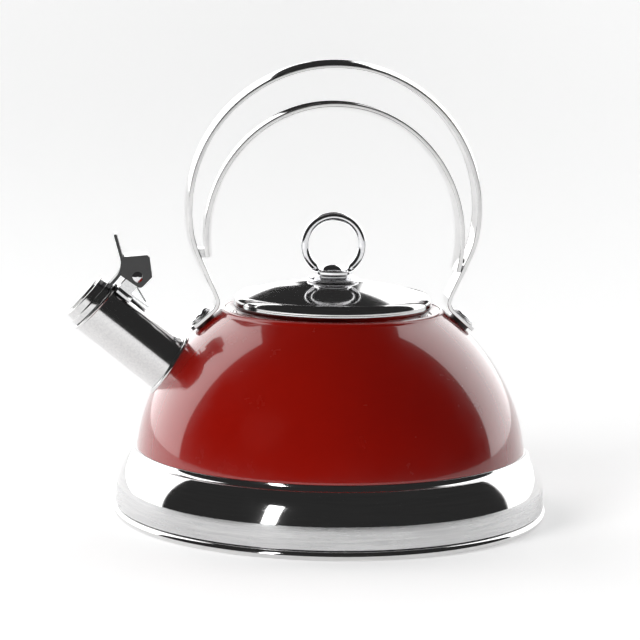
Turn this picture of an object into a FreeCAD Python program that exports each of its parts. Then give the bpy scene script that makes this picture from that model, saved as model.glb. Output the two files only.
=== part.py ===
import FreeCAD, Part
import os
import math
import Sketcher
from FreeCAD import Vector, Placement, Rotation

# Stovetop whistling kettle.
# Frame: millimetres, +Z up, origin at the centre of the flat base on the surface
# the kettle stands on.  The spout points to -X and the handle lies in the XZ plane.

os.makedirs("parts", exist_ok=True)
doc = FreeCAD.newDocument("kettle")

# ---------------------------------------------------------------------------
# Driving dimensions
# ---------------------------------------------------------------------------
sheet = doc.addObject("Spreadsheet::Sheet", "params")
DIMS = [
    # vessel
    ("base_radius", 110.0), ("bead_height", 4.8), ("skirt_radius", 108.6), ("skirt_top_radius", 108.0),
    ("skirt_low", 5.6), ("skirt_top", 16.2), ("shoulder_radius", 100.9), ("shoulder_top", 31.0),
    ("shoulder_arc", 40.0), ("seam_radius", 98.6), ("seam_height", 33.9), ("wall", 0.8),
    ("floor_height", 5.0), ("spreader_radius", 104.0),
    ("low_centre_x", 10.4), ("low_centre_z", 24.5), ("low_arc", 88.4),
    ("high_centre_x", -9.9), ("high_centre_z", 13.5), ("high_arc", 111.49),
    ("ridge_radius", 54.6), ("ridge_height", 104.2), ("seat_radius", 50.6), ("seat_height", 101.4),
    ("neck_radius", 46.5), ("neck_low", 93.0),
    # lid
    ("lid_apex", 118.0), ("lid_arc", 162.6), ("lid_edge_radius", 47.2), ("lid_rim_radius", 49.9),
    ("lid_rim_height", 106.7), ("lid_foot_radius", 48.0), ("lid_foot_height", 101.5),
    ("collar_radius", 45.2), ("collar_low", 94.5), ("knob_bore", 2.6),
    # knob
    ("knob_bulge_radius", 13.2), ("knob_neck_radius", 8.8), ("knob_flange_radius", 9.9), ("knob_flange_low", 120.7),
    ("knob_flange_top", 123.2), ("knob_cap_radius", 7.3), ("knob_top", 125.8),
    ("ring_centre", 135.8), ("ring_radius", 14.4), ("ring_wire", 4.15), ("ring_gap_angle", 41.0),
    # spout
    ("spout_x", -83.9), ("spout_z", 76.3), ("spout_rise", 38.9), ("tube_radius", 14.75), ("tube_wall", 0.8),
    ("tube_length", 45.3), ("lip_wire", 0.85), ("mouth_tilt", 3.5), ("spout_flange_radius", 16.9),
    ("spout_flange_thick", 1.1), ("port_radius", 13.4),
    # whistle
    ("cap_radius", 14.0), ("chamber_radius", 13.0), ("chamber_top", 7.4), ("whistle_neck", 8.6),
    ("top_plate_radius", 9.75), ("whistle_hole", 1.6),
    ("blade_thick", 1.5), ("blade_low", 1.1), ("blade_arc", 11.0), ("blade_width", 15.0),
    ("lever_width", 17.0), ("cheek_gap", 10.4), ("pin_along", 38.4), ("pin_above", 25.1),
    ("pin_radius", 1.5), ("pin_head_radius", 2.7), ("pin_running_fit", 0.05),
    ("ear_offset", 3.6), ("ear_thick", 0.9),
    ("spring_coil_radius", 3.1), ("spring_wire_radius", 0.4), ("spring_pitch", 1.1),
    # handle
    ("band_width", 20.0), ("band_thick", 2.0), ("outer_crown", 1.9), ("inner_crown", 1.7),
    ("outer_centre", 153.4), ("outer_radius", 73.1), ("outer_turn", 8.0), ("outer_side_radius", 48.1),
    ("leg_slope", 24.0), ("flat_start", 122.0),
    ("inner_top_centre", 144.4), ("inner_top_radius", 63.2), ("inner_side_radius", 70.0),
    ("inner_left_end", 130.2), ("inner_right_end", 123.6),
    ("screw_radius_pos", 64.3), ("foot_gap", 1.2), ("foot_bend", 6.0), ("foot_past", 7.4),
    ("screw_shank", 2.5), ("screw_head_radius", 5.5), ("screw_head_high", 2.9), ("washer_radius", 6.1),
    ("washer_thick", 0.7),
]
for row, (alias, value) in enumerate(DIMS, start=1):
    sheet.set("A%d" % row, alias)
    sheet.set("B%d" % row, repr(value))
    sheet.setAlias("B%d" % row, alias)
doc.recompute()


class Dim:
    """A length with its number and the expression that gives it from the sheet."""

    def __init__(self, v, e):
        self.v = float(v)
        self.e = e

    @staticmethod
    def of(x):
        return x if isinstance(x, Dim) else Dim(x, repr(float(x)))

    def __add__(self, o):
        o = Dim.of(o)
        return Dim(self.v + o.v, "(%s + %s)" % (self.e, o.e))

    __radd__ = __add__

    def __sub__(self, o):
        o = Dim.of(o)
        return Dim(self.v - o.v, "(%s - %s)" % (self.e, o.e))

    def __rsub__(self, o):
        return Dim.of(o) - self

    def __mul__(self, o):
        o = Dim.of(o)
        return Dim(self.v * o.v, "(%s * %s)" % (self.e, o.e))

    __rmul__ = __mul__

    def __truediv__(self, o):
        o = Dim.of(o)
        return Dim(self.v / o.v, "(%s / %s)" % (self.e, o.e))

    def __neg__(self):
        return Dim(-self.v, "(0 - %s)" % self.e)


def P(alias):
    return Dim(sheet.get(alias), "params." + alias)


def dsin(a):
    a = Dim.of(a)
    return Dim(math.sin(math.radians(a.v)), "sin(%s)" % a.e)


def dcos(a):
    a = Dim.of(a)
    return Dim(math.cos(math.radians(a.v)), "cos(%s)" % a.e)


def dsqrt(a):
    return Dim(math.sqrt(a.v), "sqrt(%s)" % a.e)


def dsq(a):
    return a * a


NODES = []          # (label, object) of every sub-part that is written


def keep(label, obj):
    obj.Label = label
    NODES.append((label, obj))
    return obj


def plane(body, role):
    for f in body.Origin.OriginFeatures:
        if f.Role == role:
            return f
    raise RuntimeError("no origin feature " + role)


def new_body(name):
    b = doc.addObject("PartDesign::Body", name)
    return b


def arc_of(p, q, r, side):
    """Arc from p to q with radius r; side +1 puts the centre left of p->q, -1 right."""
    mx, my = (p[0] + q[0]) / 2, (p[1] + q[1]) / 2
    dx, dy = q[0] - p[0], q[1] - p[1]
    d = math.hypot(dx, dy)
    k = math.sqrt(max(r * r - d * d / 4, 0.0))
    nx, ny = -dy / d, dx / d
    return (mx + side * k * nx, my + side * k * ny)


def sketch_loops(body, name, role, loops):
    """Sketch on an origin plane.  Each loop is a list of (x, y, seg) with x, y a Dim or
    number and seg None for a line to the next point, or (radius, side) for an arc."""
    sk = body.newObject("Sketcher::SketchObject", name)
    sk.AttachmentSupport = [(plane(body, role), "")]
    sk.MapMode = "FlatFace"
    n = 0
    for loop in loops:
        pts = [(Dim.of(x), Dim.of(y)) for x, y, s in loop]
        first = sk.GeometryCount
        cnt = len(loop)
        for i in range(cnt):
            a = pts[i]
            b = pts[(i + 1) % cnt]
            seg = loop[i][2]
            pa = (a[0].v, a[1].v)
            pb = (b[0].v, b[1].v)
            if seg is None:
                sk.addGeometry(Part.LineSegment(Vector(pa[0], pa[1], 0), Vector(pb[0], pb[1], 0)), False)
            else:
                r = Dim.of(seg[0])
                c = arc_of(pa, pb, r.v, seg[1])
                a0 = math.atan2(pa[1] - c[1], pa[0] - c[0])
                a1 = math.atan2(pb[1] - c[1], pb[0] - c[0])
                circ = Part.Circle(Vector(c[0], c[1], 0), Vector(0, 0, 1), r.v)
                if seg[1] > 0:      # centre on the left: counter-clockwise from a to b
                    sk.addGeometry(Part.ArcOfCircle(circ, a0, a1), False)
                else:
                    sk.addGeometry(Part.ArcOfCircle(circ, a1, a0), False)

        def ends(i):
            seg = loop[i][2]
            if seg is None or seg[1] > 0:
                return 1, 2
            return 2, 1

        for i in range(cnt):
            j = (i + 1) % cnt
            sk.addConstraint(Sketcher.Constraint("Coincident", first + i, ends(i)[1], first + j, ends(j)[0]))
        for i in range(cnt):
            geo, pos = first + i, ends(i)[0]
            for kind, d in (("DistanceX", pts[i][0]), ("DistanceY", pts[i][1])):
                if abs(d.v) < 1e-9:
                    sk.addConstraint(Sketcher.Constraint("PointOnObject", geo, pos, -2 if kind == "DistanceX" else -1))
                else:
                    if d.v > 0:
                        c = sk.addConstraint(Sketcher.Constraint(kind, -1, 1, geo, pos, d.v))
                        ex = d.e
                    else:
                        c = sk.addConstraint(Sketcher.Constraint(kind, geo, pos, -1, 1, -d.v))
                        ex = "0 - " + d.e
                    cn = "%s%d" % ("x" if kind == "DistanceX" else "y", n)
                    sk.renameConstraint(c, cn)
                    if "params" in ex:
                        sk.setExpression("Constraints." + cn, ex)
            n += 1
        for i in range(cnt):
            seg = loop[i][2]
            if seg is not None:
                r = Dim.of(seg[0])
                c = sk.addConstraint(Sketcher.Constraint("Radius", first + i, r.v))
                cn = "r%d" % (first + i)
                sk.renameConstraint(c, cn)
                if "params" in r.e:
                    sk.setExpression("Constraints." + cn, r.e)
    return sk


def open_path(body, name, role, chain):
    """Open chain of tangent lines and arcs used as a sweep path."""
    sk = body.newObject("Sketcher::SketchObject", name)
    sk.AttachmentSupport = [(plane(body, role), "")]
    sk.MapMode = "FlatFace"
    pts = [(Dim.of(x), Dim.of(y)) for x, y, s in chain]
    last = None
    for i in range(len(chain) - 1):
        a, b, seg = pts[i], pts[i + 1], chain[i][2]
        pa, pb = (a[0].v, a[1].v), (b[0].v, b[1].v)
        if seg is None:
            sk.addGeometry(Part.LineSegment(Vector(pa[0], pa[1], 0), Vector(pb[0], pb[1], 0)), False)
            s, e = 1, 2
        else:
            r = Dim.of(seg[0])
            c = arc_of(pa, pb, r.v, seg[1])
            a0 = math.atan2(pa[1] - c[1], pa[0] - c[0])
            a1 = math.atan2(pb[1] - c[1], pb[0] - c[0])
            circ = Part.Circle(Vector(c[0], c[1], 0), Vector(0, 0, 1), r.v)
            if seg[1] > 0:
                sk.addGeometry(Part.ArcOfCircle(circ, a0, a1), False)
                s, e = 1, 2
            else:
                sk.addGeometry(Part.ArcOfCircle(circ, a1, a0), False)
                s, e = 2, 1
        todo = [(i, s, pts[i])] if i else [(i, s, pts[i])]
        if i == len(chain) - 2:
            todo.append((i, e, pts[i + 1]))
        if last is not None:
            sk.addConstraint(Sketcher.Constraint("Coincident", i - 1, last, i, s))
        for geo, pos, pt in todo:
            for kind, d in (("DistanceX", pt[0]), ("DistanceY", pt[1])):
                if abs(d.v) < 1e-9:
                    sk.addConstraint(Sketcher.Constraint("PointOnObject", geo, pos, -2 if kind == "DistanceX" else -1))
                else:
                    if d.v > 0:
                        c = sk.addConstraint(Sketcher.Constraint(kind, -1, 1, geo, pos, d.v))
                        ex = d.e
                    else:
                        c = sk.addConstraint(Sketcher.Constraint(kind, geo, pos, -1, 1, -d.v))
                        ex = "0 - " + d.e
                    cn = "%s%d_%d" % ("x" if kind == "DistanceX" else "y", geo, pos)
                    sk.renameConstraint(c, cn)
                    if "params" in ex:
                        sk.setExpression("Constraints." + cn, ex)
        if seg is not None:
            r = Dim.of(seg[0])
            c = sk.addConstraint(Sketcher.Constraint("Radius", i, r.v))
            sk.renameConstraint(c, "r%d" % i)
            if "params" in r.e:
                sk.setExpression("Constraints.r%d" % i, r.e)
        last = e
    return sk


def revolve(name, loops, placement=None):
    """Body turned about its own Z axis from profiles in its XZ plane."""
    b = new_body(name)
    sk = sketch_loops(b, name + "_profile", "XZ_Plane", loops)
    rev = b.newObject("PartDesign::Revolution", name + "_turned")
    rev.Profile = sk
    rev.ReferenceAxis = (sk, ["V_Axis"])
    rev.Angle = 360.0
    b.Tip = rev
    if placement is not None:
        b.Placement = placement
    return b


def pad(body, name, sk, length, symmetric=True):
    p = body.newObject("PartDesign::Pad", name)
    p.Profile = sk
    p.Type = "Length"
    length = Dim.of(length)
    p.Length = length.v
    if "params" in length.e:
        p.setExpression("Length", length.e)
    p.Midplane = symmetric
    body.Tip = p
    return p


def pocket_through(body, name, sk, length=400.0):
    before = None
    doc.recompute()
    before = body.Shape.Volume
    p = body.newObject("PartDesign::Pocket", name)
    p.Profile = sk
    p.Type = "Length"
    p.Length = length
    p.Midplane = True
    body.Tip = p
    doc.recompute()
    if not body.Shape.Volume < before - 1e-6:
        raise RuntimeError("pocket cuts nothing: " + name)
    return p


def part_cylinder(name, r, length, placement):
    c = doc.addObject("Part::Cylinder", name)
    r = Dim.of(r)
    length = Dim.of(length)
    c.Radius = r.v
    c.Height = length.v
    if "params" in r.e:
        c.setExpression("Radius", r.e)
    if "params" in length.e:
        c.setExpression("Height", length.e)
    c.Placement = placement
    return c


def part_cut(name, base, tool):
    c = doc.addObject("Part::Cut", name)
    c.Base = base
    c.Tool = tool
    return c


def part_common(name, base, tool):
    c = doc.addObject("Part::Common", name)
    c.Base = base
    c.Tool = tool
    return c


def part_fuse(name, shapes):
    c = doc.addObject("Part::MultiFuse", name)
    c.Shapes = shapes
    return c


def group(name, links):
    c = doc.addObject("Part::Compound", name)
    c.Links = links
    return c


def mirror_x(name, src):
    m = doc.addObject("Part::Mirroring", name)
    m.Source = src
    m.Base = Vector(0, 0, 0)
    m.Normal = Vector(1, 0, 0)
    return m


# ---------------------------------------------------------------------------
# Base: flared steel pan, aluminium heat spreader, steel bottom cap with a rolled bead
# ---------------------------------------------------------------------------
base_r, bead, wall = P("base_radius"), P("bead_height"), P("wall")

cap_r = base_r - 2.2
base_cap = revolve("base_cap_body", [[
    (0.0, 0.0, None), (26.0, 0.0, None), (26.0, 0.35, None), (28.0, 0.35, None), (28.0, 0.0, None),
    (52.0, 0.0, None), (52.0, 0.35, None), (54.0, 0.35, None), (54.0, 0.0, None),
    (78.0, 0.0, None), (78.0, 0.35, None), (80.0, 0.35, None), (80.0, 0.0, None),
    (base_r - 2.4, 0.0, (2.4, 1)), (base_r, 2.4, (2.4, 1)), (base_r - 2.4, bead, None),
    (base_r - 4.9, bead, None), (base_r - 4.9, 0.9, None), (0.0, 0.9, None),
]])
keep("base_cap", base_cap)

spreader = revolve("base_heat_spreader_body", [[
    (0.0, 0.92, None), (P("spreader_radius"), 0.92, None), (P("spreader_radius"), 4.35, None),
    (P("spreader_radius") - 0.5, 4.98, None), (0.0, 4.98, None),
]])
keep("base_heat_spreader", spreader)


fl = P("floor_height")
# The pan is drawn as one closed section: floor, skirt, domed shoulder, seam ledge and the
# tongue that the dome slips over.
sk_r, sk_t = P("skirt_radius"), P("skirt_top_radius")
seam_r, seam_z = P("seam_radius"), P("seam_height")
sh_r, sh_z, sh_arc = P("shoulder_radius"), P("shoulder_top"), P("shoulder_arc")
pan = revolve("base_pan_body", [[
    (0.0, fl, None), (sk_r - 0.6, fl, (0.6, 1)), (sk_r, fl + 0.6, None),
    (sk_t, P("skirt_top"), (sh_arc, 1)),
    (sh_r, sh_z, (3.6, -1)),
    (seam_r - 0.15, seam_z - 0.1, None),
    (seam_r - 1.25, seam_z - 0.1, None),
    (seam_r - 2.4, 41.0, None), (seam_r - 3.15, 41.0, None),
    (seam_r - 2.05, seam_z - 1.0, None),
    (sh_r - 1.15, sh_z - 0.95, (sh_arc - wall, -1)),
    (sk_t - wall, P("skirt_top") - 0.2, None),
    (sk_r - wall, fl + 3.2, (2.4, -1)),
    (sk_r - wall - 2.4, fl + wall, None),
    (0.0, fl + wall, None),
]])
keep("base_pan", pan)

# ---------------------------------------------------------------------------
# Dome: drawn steel shell in two tangent arcs, shoulder ridge, lid seat and neck
# ---------------------------------------------------------------------------
lx, lz, lr = P("low_centre_x"), P("low_centre_z"), P("low_arc")
hx, hz, hr = P("high_centre_x"), P("high_centre_z"), P("high_arc")
reach = dsqrt(dsq(lx - hx) + dsq(lz - hz))
jx = lx + lr * (lx - hx) / reach
jz = lz + lr * (lz - hz) / reach
jxi = lx + (lr - wall) * (lx - hx) / reach
jzi = lz + (lr - wall) * (lz - hz) / reach


def on_low(z, off=0.0):
    return lx + dsqrt(dsq(lr - off) - dsq(Dim.of(z) - lz))


def on_high(r, off=0.0):
    return hz + dsqrt(dsq(hr - off) - dsq(Dim.of(r) - hx))


rg, rz = P("ridge_radius"), P("ridge_height")
seat_r, seat_z, neck_r = P("seat_radius"), P("seat_height"), P("neck_radius")
r_on = rg + 2.6                      # where the dome arc turns into the ridge
z_on = on_high(r_on)
dome_profile = [
    (on_low(seam_z), seam_z, (lr, 1)), (jx, jz, (hr, 1)), (r_on, z_on, (3.6, 1)),
    (rg - 0.4, rz - 0.02, (3.0, 1)), (rg - 2.2, rz - 1.0, None), (seat_r, seat_z + 0.25, (1.2, -1)),
    (seat_r - 1.0, seat_z, None), (neck_r + 0.8, seat_z, (0.8, 1)), (neck_r, seat_z - 0.8, None),
    (neck_r, P("neck_low"), None), (neck_r + wall, P("neck_low"), None),
    (neck_r + wall, seat_z - 1.0, None),
    (seat_r + 0.2, seat_z - 0.95, None), (rg - 1.6, rz - 1.7, (2.0, -1)),
    (r_on - 0.5, on_high(r_on - 0.5, wall), (hr - wall, -1)),
    (jxi, jzi, (lr - wall, -1)), (on_low(seam_z, wall), seam_z, None),
]
dome = revolve("body_dome_body", [dome_profile])

# Frame of the spout: local Z runs out along the tube, local X points away from the body.
el = P("spout_rise").v
spout_o = Vector(P("spout_x").v, 0, P("spout_z").v)
u = Vector(-math.cos(math.radians(el)), 0, math.sin(math.radians(el)))
n = Vector(math.sin(math.radians(el)), 0, math.cos(math.radians(el)))
spout_pl = Placement(spout_o, Rotation(Vector(0, 1, 0), -(90 - el)))
mouth_o = spout_o + u * P("tube_length").v
mouth_pl = Placement(mouth_o, Rotation(Vector(0, 1, 0), -(90 - el - P("mouth_tilt").v)))


def along(pl, z, x=0.0, y=0.0):
    return Placement(pl.multVec(Vector(x, y, z)), pl.Rotation)


# Holes in the dome: one port under the spout, one for each handle screw.
sr = P("screw_radius_pos").v
sz = hz.v + math.sqrt(hr.v ** 2 - (sr - hx.v) ** 2)
nrm = Vector(sr - hx.v, 0, sz - hz.v)
nrm.normalize()
tilt = math.degrees(math.atan2(nrm.x, nrm.z))
screw_pl = Placement(Vector(sr, 0, sz), Rotation(Vector(0, 1, 0), tilt))
screw_pl_left = Placement(Vector(-sr, 0, sz), Rotation(Vector(0, 1, 0), -tilt))

port = part_cylinder("spout_port_tool", P("port_radius"), 40.0, along(spout_pl, -25.0))
hole_r = part_cylinder("dome_hole_right_tool", P("screw_shank") + 0.1, 20.0, along(screw_pl, -10.0))
hole_l = part_cylinder("dome_hole_left_tool", P("screw_shank") + 0.1, 20.0, along(screw_pl_left, -10.0))
dome_tools = part_fuse("dome_hole_tools", [port, hole_r, hole_l])
dome_cut = part_cut("dome_with_holes", dome, dome_tools)
keep("body_dome", dome_cut)

# Solid envelope of the dome, used to trim what is joined to it.
env = revolve("dome_envelope", [[
    (0.0, seam_z, None), (on_low(seam_z), seam_z, (lr, 1)), (jx, jz, (hr, 1)), (r_on, z_on, None),
    (0.0, z_on, None),
]])
thick = P("spout_flange_thick")
env_flange = revolve("dome_envelope_flange", [[
    (0.0, seam_z, None), (lx + dsqrt(dsq(lr + thick) - dsq(seam_z - lz)), seam_z, (lr + thick, 1)),
    (lx + (lr + thick) * (lx - hx) / reach, lz + (lr + thick) * (lz - hz) / reach, (hr + thick, 1)),
    (r_on, hz + dsqrt(dsq(hr + thick) - dsq(r_on - hx)), None), (0.0, z_on, None),
]])

# ---------------------------------------------------------------------------
# Spout: straight tube with a rolled lip, and the ring that trims its joint with the dome
# ---------------------------------------------------------------------------
tube_r, tube_w = P("tube_radius"), P("tube_wall")
t_out = part_cylinder("spout_tube_outside", tube_r, 80.0, along(spout_pl, -30.0))
lip = doc.addObject("Part::Torus", "spout_lip_roll")
lip.Radius1 = (tube_r - 0.1).v
lip.Radius2 = P("lip_wire").v
lip.setExpression("Radius1", "params.tube_radius - 0.1")
lip.setExpression("Radius2", "params.lip_wire")
lip.Placement = along(mouth_pl, -P("lip_wire").v)
mouth_box = doc.addObject("Part::Box", "mouth_trim")
mouth_box.Length = 60.0
mouth_box.Width = 60.0
mouth_box.Height = 60.0
mouth_box.Placement = along(mouth_pl, -P("lip_wire").v, -30.0, -30.0)
t_trim = part_cut("spout_tube_trimmed", t_out, mouth_box)
t_full = part_fuse("spout_tube_rolled", [t_trim, lip])
t_in = part_cylinder("spout_tube_inside", tube_r - tube_w, 80.0, along(spout_pl, -31.0))
t_hollow = part_cut("spout_tube_hollow", t_full, t_in)
t_done = part_cut("spout_tube_part", t_hollow, env)
keep("spout_tube", t_done)

f_out = part_cylinder("spout_flange_outside", P("spout_flange_radius"), 60.0, along(spout_pl, -15.0))
f_in = part_cylinder("spout_flange_inside", tube_r, 62.0, along(spout_pl, -16.0))
f_ring = part_cut("spout_flange_ring", f_out, f_in)
f_slab = part_common("spout_flange_slab", f_ring, env_flange)
f_done = part_cut("spout_flange_part", f_slab, env)
keep("spout_flange", f_done)

# ---------------------------------------------------------------------------
# Bracket on the spout: saddle, two ears for the pin, and a tail that lies along the tube
# ---------------------------------------------------------------------------
pa, pn = P("pin_along"), P("pin_above")
br = new_body("spout_bracket_body")
# ears, in the plane of the tube: X is height above the axis, Y is distance along it
ear = sketch_loops(br, "ear_profile", "XZ_Plane", [[
    (15.3, pa - 3.2, None), (15.3, pa + 3.6, None), (17.6, pa + 3.6, None),
    (pn, pa + 3.3, (3.3, -1)), (pn, pa - 3.3, None),
]])
pad(br, "ears_block", ear, 2.0 * (P("ear_offset") + P("ear_thick")))
gap = sketch_loops(br, "ear_gap_profile", "XZ_Plane", [[
    (16.7, pa - 12.0, None), (16.7, pa + 12.0, None), (40.0, pa + 12.0, None), (40.0, pa - 12.0, None),
]])
doc.recompute()
g = br.newObject("PartDesign::Pocket", "ear_gap")
g.Profile = gap
g.Type = "Length"
g.Length = (2.0 * P("ear_offset")).v
g.setExpression("Length", "2 * params.ear_offset")
g.Midplane = True
br.Tip = g
doc.recompute()
ph = br.newObject("Sketcher::SketchObject", "ear_bore_profile")
ph.AttachmentSupport = [(plane(br, "XZ_Plane"), "")]
ph.MapMode = "FlatFace"
ph.addGeometry(Part.Circle(Vector(pn.v, pa.v, 0), Vector(0, 0, 1), P("pin_radius").v), False)
ph.addConstraint(Sketcher.Constraint("DistanceX", -1, 1, 0, 3, pn.v))
ph.addConstraint(Sketcher.Constraint("DistanceY", -1, 1, 0, 3, pa.v))
ph.addConstraint(Sketcher.Constraint("Radius", 0, P("pin_radius").v))
ph.setExpression("Constraints[0]", "params.pin_above")
ph.setExpression("Constraints[1]", "params.pin_along")
ph.setExpression("Constraints[2]", "params.pin_radius")
pocket_through(br, "ear_bore", ph, 40.0)
# tail strip, bent slightly up off the tube
tail = sketch_loops(br, "tail_profile", "XZ_Plane", [[
    (15.2, pa + 3.6, None), (16.5, pa + 3.6, None), (16.5, pa - 5.0, None), (17.0, pa - 14.1, None),
    (16.0, pa - 14.2, None), (15.4, pa - 5.2, None), (15.2, pa - 5.2, None),
]])
pad(br, "tail_strip", tail, 8.0)
br.Placement = spout_pl
# saddle: a curved plate that fits the top of the tube
s_out = part_cylinder("saddle_outside", tube_r + 1.1, 8.4, along(spout_pl, pa.v - 4.8))
s_in = part_cylinder("saddle_inside", tube_r + 0.02, 12.0, along(spout_pl, pa.v - 5.8))
s_shell = part_cut("saddle_shell", s_out, s_in)
s_box = doc.addObject("Part::Box", "saddle_limits")
s_box.Length = 12.0
s_box.Width = 15.0
s_box.Height = 14.0
s_box.Placement = along(spout_pl, pa.v - 7.0, 10.0, -7.5)
s_plate = part_common("saddle_plate", s_shell, s_box)
br_fused = part_fuse("bracket_fused", [br, s_plate])
br_clear = part_cylinder("bracket_tube_clearance", tube_r + 0.02, 60.0, along(spout_pl, 0.0))
br_done = part_cut("spout_bracket_part", br_fused, br_clear)
keep("spout_bracket", br_done)

# hinge pin along Y, with a domed head at each end
pin_o = spout_pl.multVec(Vector(pn.v, 0, pa.v))
half = P("lever_width") / 2.0 + 0.12
pr, phr = P("pin_radius"), P("pin_head_radius")
pin = revolve("hinge_pin_body", [[
    (0.0, -half - 1.5, None), (0.5, -half - 1.5, (3.2, 1)), (phr, -half - 0.35, None), (phr, -half, None), (pr, -half, None),
    (pr, half, None), (phr, half, None), (phr, half + 0.35, (3.2, 1)), (0.5, half + 1.5, None), (0.0, half + 1.5, None),
]], Placement(pin_o, Rotation(Vector(1, 0, 0), -90)))
keep("hinge_pin", pin)

# torsion spring round the pin: coil between the ears, one leg on the tail, one under the lever
coil_r, wire_r, pitch = P("spring_coil_radius").v, P("spring_wire_radius").v, P("spring_pitch").v
turns = 4.0
steps = 16
line = [Vector(coil_r, -13.4, 0)]
for i in range(int(turns * steps) + 1):
    w = 2 * math.pi * i / steps
    line.append(Vector(coil_r * math.cos(w), coil_r * math.sin(w), pitch * i / steps))
line.append(Vector(coil_r, 5.6, pitch * turns))
prof = Part.Wire([Part.makeCircle(wire_r, line[0], Vector(0, 1, 0))])
spring_shape = Part.makePolygon(line).makePipeShell([prof], True, False, 1)
spring = doc.addObject("Part::Feature", "hinge_spring_part")
spring.Shape = spring_shape
# local Z to world Y; the first leg runs back down the tube just above the tail
base_rot = Rotation(Vector(1, 0, 0), -90)
# after that turn local X is world X and local -Y is world +Z; spin about Y to aim the leg
back = u * -1.0
leg_dir = base_rot.multVec(Vector(0, -1, 0))
ang = math.degrees(math.atan2(leg_dir.z * back.x - leg_dir.x * back.z, leg_dir.x * back.x + leg_dir.z * back.z))
spring.Placement = Placement(pin_o + Vector(0, -pitch * turns / 2.0, 0), Rotation(Vector(0, 1, 0), ang + 20.5) * base_rot)
keep("hinge_spring", spring)

# ---------------------------------------------------------------------------
# Whistle: lever, seat plate, cap with its chamber, two plates with the sounding hole, rivet
# ---------------------------------------------------------------------------
bt, bl, ba = P("blade_thick"), P("blade_low"), P("blade_arc")
front = bl + bt
bx = Dim(17.5, "17.5")
end_a = 56.0
ex = bx + ba * math.sin(math.radians(end_a))
ez = front + ba * (1 - math.cos(math.radians(end_a)))
exb = bx + (ba + bt) * math.sin(math.radians(end_a))
ezb = front + ba - (ba + bt) * math.cos(math.radians(end_a))
tx, tz = math.cos(math.radians(58.0)), math.sin(math.radians(58.0))
lever = new_body("whistle_lever_body")
blade = sketch_loops(lever, "blade_profile", "XZ_Plane", [[
    (8.4, bl, None), (bx, bl, (ba + bt, 1)), (exb, ezb, None), (exb + 11.6 * tx, ezb + 11.6 * tz, (0.85, 1)),
    (ex + 11.6 * tx, ez + 11.6 * tz, None), (ex, ez, (ba, -1)), (bx, front, None), (8.4, front, None),
]])
pad(lever, "blade", blade, P("blade_width"))
blk = sketch_loops(lever, "block_profile", "XZ_Plane", [[
    (20.4, 2.0, None), (21.9, -8.4, (2.2, 1)), (24.0, -10.5, None), (30.0, -10.6, (1.2, 1)),
    (31.1, -9.9, None), (36.6, -3.4, (1.0, 1)), (36.8, -2.3, (1.0, 1)), (36.5, -0.9, None),
    (29.4, 5.6, None), (28.6, 6.6, None), (26.9, 5.9, None), (23.5, 3.1, None),
]])
pad(lever, "block", blk, P("lever_width"))
# slot between the cheeks for the ears and the spring
slot = sketch_loops(lever, "slot_profile", "XZ_Plane", [[
    (12.0, -14.0, None), (31.4, -14.0, None), (31.4, 2.6, None), (25.0, 2.2, None), (21.6, 0.9, None), (12.0, 0.9, None),
]])
doc.recompute()
v0 = lever.Shape.Volume
s = lever.newObject("PartDesign::Pocket", "cheek_slot")
s.Profile = slot
s.Type = "Length"
s.Length = P("cheek_gap").v
s.setExpression("Length", "params.cheek_gap")
s.Midplane = True
lever.Tip = s
doc.recompute()
if not lever.Shape.Volume < v0 - 10:
    raise RuntimeError("cheek slot cuts nothing")
# bore for the pin with a running fit
mouth_inv = mouth_pl.inverse()
pin_local = mouth_inv.multVec(pin_o)
bore = lever.newObject("Sketcher::SketchObject", "lever_bore_profile")
bore.AttachmentSupport = [(plane(lever, "XZ_Plane"), "")]
bore.MapMode = "FlatFace"
bore.addGeometry(Part.Circle(Vector(pin_local.x, pin_local.z, 0), Vector(0, 0, 1), P("pin_radius").v + P("pin_running_fit").v), False)
bore.addConstraint(Sketcher.Constraint("DistanceX", -1, 1, 0, 3, pin_local.x))
bore.addConstraint(Sketcher.Constraint("DistanceY", 0, 3, -1, 1, -pin_local.z))
bore.addConstraint(Sketcher.Constraint("Radius", 0, P("pin_radius").v + P("pin_running_fit").v))
bore.setExpression("Constraints[2]", "params.pin_radius + params.pin_running_fit")
pocket_through(lever, "lever_bore", bore, 60.0)
# rivet hole in the tongue
rx = 12.25
rh = lever.newObject("Sketcher::SketchObject", "rivet_hole_profile")
rh.AttachmentSupport = [(plane(lever, "XY_Plane"), "")]
rh.MapMode = "FlatFace"
rh.addGeometry(Part.Circle(Vector(rx, 0, 0), Vector(0, 0, 1), 0.9), False)
rh.addConstraint(Sketcher.Constraint("DistanceX", -1, 1, 0, 3, rx))
rh.addConstraint(Sketcher.Constraint("PointOnObject", 0, 3, -1))
rh.addConstraint(Sketcher.Constraint("Radius", 0, 0.9))
pocket_through(lever, "rivet_hole", rh, 7.0)
lever.Placement = mouth_pl
keep("whistle_lever", lever)

cap_rr, ch_r, ch_t, wn = P("cap_radius"), P("chamber_radius"), P("chamber_top"), P("whistle_neck")
cap = revolve("whistle_cap_body", [[
    (cap_rr - 0.7, 0.5, None), (cap_rr, 0.5, None), (cap_rr, 2.9, (0.5, 1)), (cap_rr - 0.5, 3.4, None),
    (ch_r + 0.3, 3.4, (0.3, -1)), (ch_r, 3.7, None), (ch_r, ch_t - 0.8, (0.8, 1)), (ch_r - 0.8, ch_t, None),
    (wn, ch_t, None), (wn, ch_t - 0.6, None), (ch_r - 1.0, ch_t - 0.6, (0.4, -1)), (ch_r - 0.7, ch_t - 0.9, None),
    (ch_r - 0.7, 2.7, None), (cap_rr - 0.7, 2.7, None),
]])
cap.Placement = mouth_pl
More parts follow.
